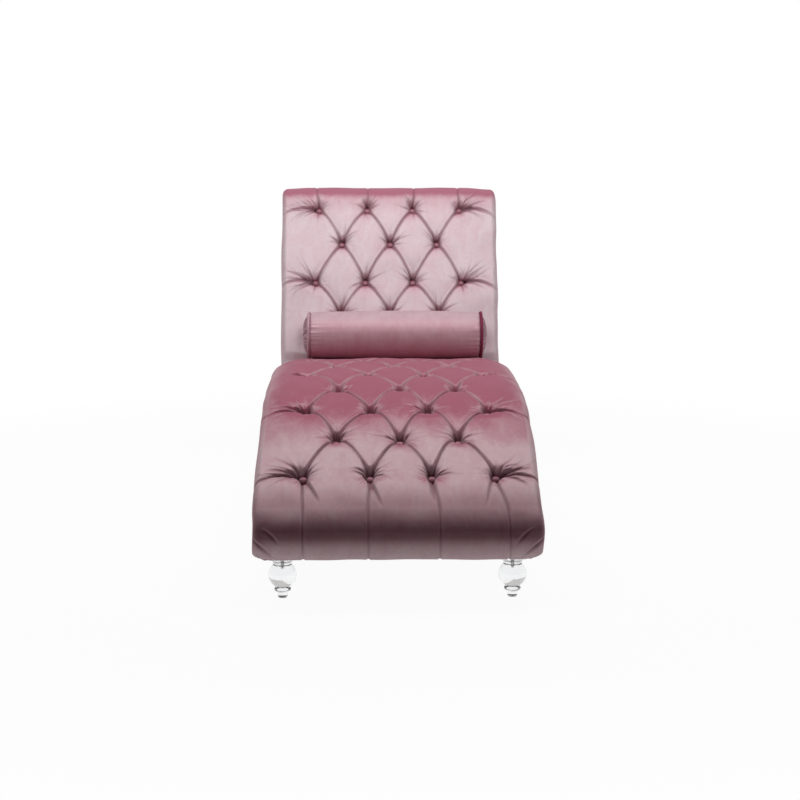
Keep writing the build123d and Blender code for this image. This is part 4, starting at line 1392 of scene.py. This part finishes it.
solidLooks = {
    softwood: [
        "front_foot_board",
        "rear_foot_board",
        "nose_rail",
        "knee_rail",
        "middle_rail",
        "seat_back_rail",
        "rear_rail",
        "back_lower_rail",
        "back_top_rail",
        "centre_stretcher",
    ],
    plywood: ["left_side_panel", "right_side_panel"],
    foamLook: ["seat_foam", "back_foam"],
    fillLook: ["bolster_fill"],
    webbingLook: ["seat_webbing", "back_webbing"],
    twineLook: ["seat_ties", "back_ties"],
    zincLook: ["frame_screws", "hanger_bolts"],
    brassLook: ["foot_inserts"],
    glideLook: ["foot_glides"],
    acrylic: ["front_left_foot", "front_right_foot", "rear_left_foot", "rear_right_foot"],
}
for look, names in solidLooks.items():
    for name in names:
        cadNodes[name].data.materials.clear()
        cadNodes[name].data.materials.append(look)

# painted sheen and shade: the tone of each face set by its tilt

tiltShadeCurves = {  # painted sheen and shade: how deep the tone is against the tilt of the face, in degrees from level
    "seat": [
        (-90, 0.0), (48, 0.0), (58, 0.02), (61, 0.08), (63, 0.29),
        (66, 0.56), (69, 0.77), (73, 0.91), (80, 0.96), (90, 0.96),
    ],
    "back": [(-90, 0.7), (-10, 0.4), (10, 0.05), (22, 0.0), (34, 0.2), (48, 0.62), (64, 0.95), (90, 1.0)],
    "bolster": [(-90, 0.0), (-40, 0.1), (0, 0.28), (25, 0.3), (45, 0.12), (60, 0.0), (90, 0.0)],
    "panel": [(-90, 0.6), (0, 0.4), (45, 0.3), (90, 1.0)],
}
tiltShadeRules = {
    "pleatShare": 0.5,
    "edgeTone": 0.4,
    "noseBand": 0.42,
    "noseTilt": 30.0,
    "noseSpread": 26.0,
    # painted light and shade: left piping pale as if lit, right piping deep as if shaded
    "piping": {"bolsterLeftPiping": 0.15, "bolsterRightPiping": 1.0},
}


def paintSheenAndShade(piece, curve, noseBand=0.0, base=None):
    facing = np.empty(len(piece.data.vertices) * 3, np.float32)
    piece.data.vertex_normals.foreach_get("vector", facing)
    facing = facing.reshape(-1, 3)
    tilt = np.degrees(np.arcsin(np.clip(facing[:, 2], -1, 1)))
    nap = curveAt(tiltShadeCurves[curve], tilt)
    if base is not None:  # partly by the tilt of the pad under the pleats
        share = tiltShadeRules["pleatShare"]
        nap = share * nap + (1 - share) * curveAt(tiltShadeCurves[curve], base[0]) + tufting["blush"] * base[1]
        # painted: faces turned to the side are drawn to a middle tone
        nap += (tiltShadeRules["edgeTone"] - nap) * smooth(np.abs(facing[:, 0]), 0.75, 0.98)
    if piece.name in tiltShadeRules["piping"]:
        nap = np.full(len(nap), tiltShadeRules["piping"][piece.name])
    # painted shade: deeper tone on the front faces of the nose
    band = np.exp(-(((tilt - tiltShadeRules["noseTilt"]) / tiltShadeRules["noseSpread"]) ** 2))
    nap += noseBand * band * smooth(-facing[:, 1], 0.3, 0.8)
    storeMask(piece, "nap", np.clip(nap, 0, 1))


paintSheenAndShade(seatPiece, "seat", tiltShadeRules["noseBand"], seatTilt)
paintSheenAndShade(backPiece, "back", 0.0, backTilt)
paintSheenAndShade(seatButtons, "seat")
paintSheenAndShade(backButtons, "back")
for piece in (leftPanel, rightPanel, backPanel):
    paintSheenAndShade(piece, "panel")
for piece in (bolsterPiece, leftCap, rightCap, leftPiping, rightPiping, capButtons):
    paintSheenAndShade(piece, "bolster")
print("pile brushed")

# who rides where, and what each piece stands for

chaisePieces = [
    (seatPiece, "velvet", ["seat_cover"], 0.85),
    (backPiece, "velvet", ["back_cover"], 0.85),
    (seatButtons, "velvet_button", ["seat_buttons"], None),
    (backButtons, "velvet_button", ["back_buttons"], None),
    (leftPanel, "velvet", ["left_side_cover"], 0.95),
    (rightPanel, "velvet", ["right_side_cover"], 0.95),
    (backPanel, "velvet", ["outside_back_cover"], 0.95),
    (dustPiece, "cambric", ["dust_cover"], None),
]
bolsterPieces = [
    (bolsterPiece, "velvet", ["bolster_cover"], 0.9),
    (leftCap, "velvet", ["bolster_left_cap"], 0.8),
    (rightCap, "velvet", ["bolster_right_cap"], 0.8),
    (leftPiping, "velvet_piping", ["bolster_left_piping"], None),
    (rightPiping, "velvet_piping", ["bolster_right_piping"], None),
    (capButtons, "velvet_button", ["bolster_cap_buttons"], None),
]
for body, pieces in (("chaise", chaisePieces), ("bolster", bolsterPieces)):
    for piece, slot, nodes, fill in pieces:
        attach(piece, body)
        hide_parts(*nodes)

# camera, floor, light

view = {"spot": (-0.0625, -4.2395, 1.064), "pitch": 10.0, "yaw": 1.1, "lens": 74.25, "sensor": 36.0}
camera = bpy.data.objects.new("camera", bpy.data.cameras.new("camera"))
scene.collection.objects.link(camera)
camera.data.lens = view["lens"]
camera.data.sensor_width = view["sensor"]
camera.location = view["spot"]
camera.rotation_euler = (math.radians(90 - view["pitch"]), 0, -math.radians(view["yaw"]))
scene.camera = camera

studio = {
    "floorColour": (0.86, 0.86, 0.86),
    "floorReach": 40.0,
    "floorHeight": -0.0008,
    "floorGlow": 0.95,
    "glowFrom": 1.0,
    "glowTo": 2.4,
    "frontLevel": 0.0,
    "rearLevel": 0.7,
    "fadeFrom": -0.5,
    "fadeTo": 0.7,
    "softbox": {"spot": (0.0, -0.2, 1.6), "aim": (0.0, 0.5, 0.35), "size": (2.2, 1.2), "power": 18.0},
}


def seenRay(tree):  # rays that show the white ground: straight, through clear plastic, and inside it
    path = tree.nodes.new("ShaderNodeLightPath")
    through = mathNode(tree, "GREATER_THAN", path.outputs["Transmission Depth"], 0.5)
    seen = mathNode(tree, "MAXIMUM", path.outputs["Is Camera Ray"], path.outputs["Is Transmission Ray"])
    return mathNode(tree, "MAXIMUM", seen, through), path.outputs["Is Glossy Ray"]


def makeFloor():
    mesh = bpy.data.meshes.new("floor")
    far = studio["floorReach"]
    corners = [(-far, -far), (far, -far), (far, far), (-far, far)]
    low = studio["floorHeight"]  # a hair under the glides
    mesh.from_pydata([(x, y, low) for x, y in corners], [], [(0, 1, 2, 3)])
    floor = bpy.data.objects.new("floor", mesh)
    scene.collection.objects.link(floor)
    material = bpy.data.materials.new("paleFloor")
    material.use_nodes = True
    tree = material.node_tree
    shader = tree.nodes["Principled BSDF"]
    shader.inputs["Base Color"].default_value = (*studio["floorColour"], 1)
    shader.inputs["Roughness"].default_value = 0.9
    shader.inputs["Specular IOR Level"].default_value = 0.1
    glow = tree.nodes.new("ShaderNodeEmission")
    mix = tree.nodes.new("ShaderNodeMixShader")
    seen, glossy = seenRay(tree)
    away = tree.nodes.new("ShaderNodeVectorMath")
    away.operation = "LENGTH"
    tree.links.new(tree.nodes.new("ShaderNodeTexCoord").outputs["Object"], away.inputs[0])
    fade = tree.nodes.new("ShaderNodeMapRange")
    fade.interpolation_type = "SMOOTHSTEP"
    fade.inputs["From Min"].default_value = studio["glowFrom"]
    fade.inputs["From Max"].default_value = studio["glowTo"]
    fade.inputs["To Min"].default_value = studio["floorGlow"]
    tree.links.new(away.outputs["Value"], fade.inputs["Value"])
    share = mathNode(tree, "MULTIPLY", mathNode(tree, "MAXIMUM", seen, glossy), fade.outputs[0])
    tree.links.new(share, mix.inputs[0])
    tree.links.new(shader.outputs[0], mix.inputs[1])
    tree.links.new(glow.outputs[0], mix.inputs[2])
    tree.links.new(mix.outputs[0], tree.nodes["Material Output"].inputs["Surface"])
    mesh.materials.append(material)


def makeWorld():  # white where it is seen; as light, dim in front and brighter behind
    world = bpy.data.worlds.new("studio")
    scene.world = world
    world.use_nodes = True
    tree = world.node_tree
    back = tree.nodes["Background"]
    back.inputs["Color"].default_value = (1, 1, 1, 1)
    seen = seenRay(tree)[0]
    parts = tree.nodes.new("ShaderNodeSeparateXYZ")
    tree.links.new(tree.nodes.new("ShaderNodeTexCoord").outputs["Generated"], parts.inputs[0])
    fade = tree.nodes.new("ShaderNodeMapRange")
    fade.interpolation_type = "SMOOTHSTEP"
    fade.inputs["From Min"].default_value = studio["fadeFrom"]
    fade.inputs["From Max"].default_value = studio["fadeTo"]
    fade.inputs["To Min"].default_value = studio["frontLevel"]
    fade.inputs["To Max"].default_value = studio["rearLevel"]
    tree.links.new(parts.outputs["Y"], fade.inputs["Value"])
    tree.links.new(mathNode(tree, "MAXIMUM", seen, fade.outputs[0]), back.inputs["Strength"])


def makeLamp(name):
    values = studio[name]
    lamp = bpy.data.lights.new(name, "AREA")
    lamp.shape = "RECTANGLE"
    lamp.size, lamp.size_y = values["size"]
    lamp.energy = values["power"]
    obj = bpy.data.objects.new(name, lamp)
    obj.location = values["spot"]
    toward = Vector(values["aim"]) - Vector(values["spot"])
    obj.rotation_euler = toward.to_track_quat("-Z", "Y").to_euler()
    obj.visible_camera = False
    scene.collection.objects.link(obj)


makeFloor()
makeWorld()
makeLamp("softbox")
scene.view_settings.view_transform = "Standard"
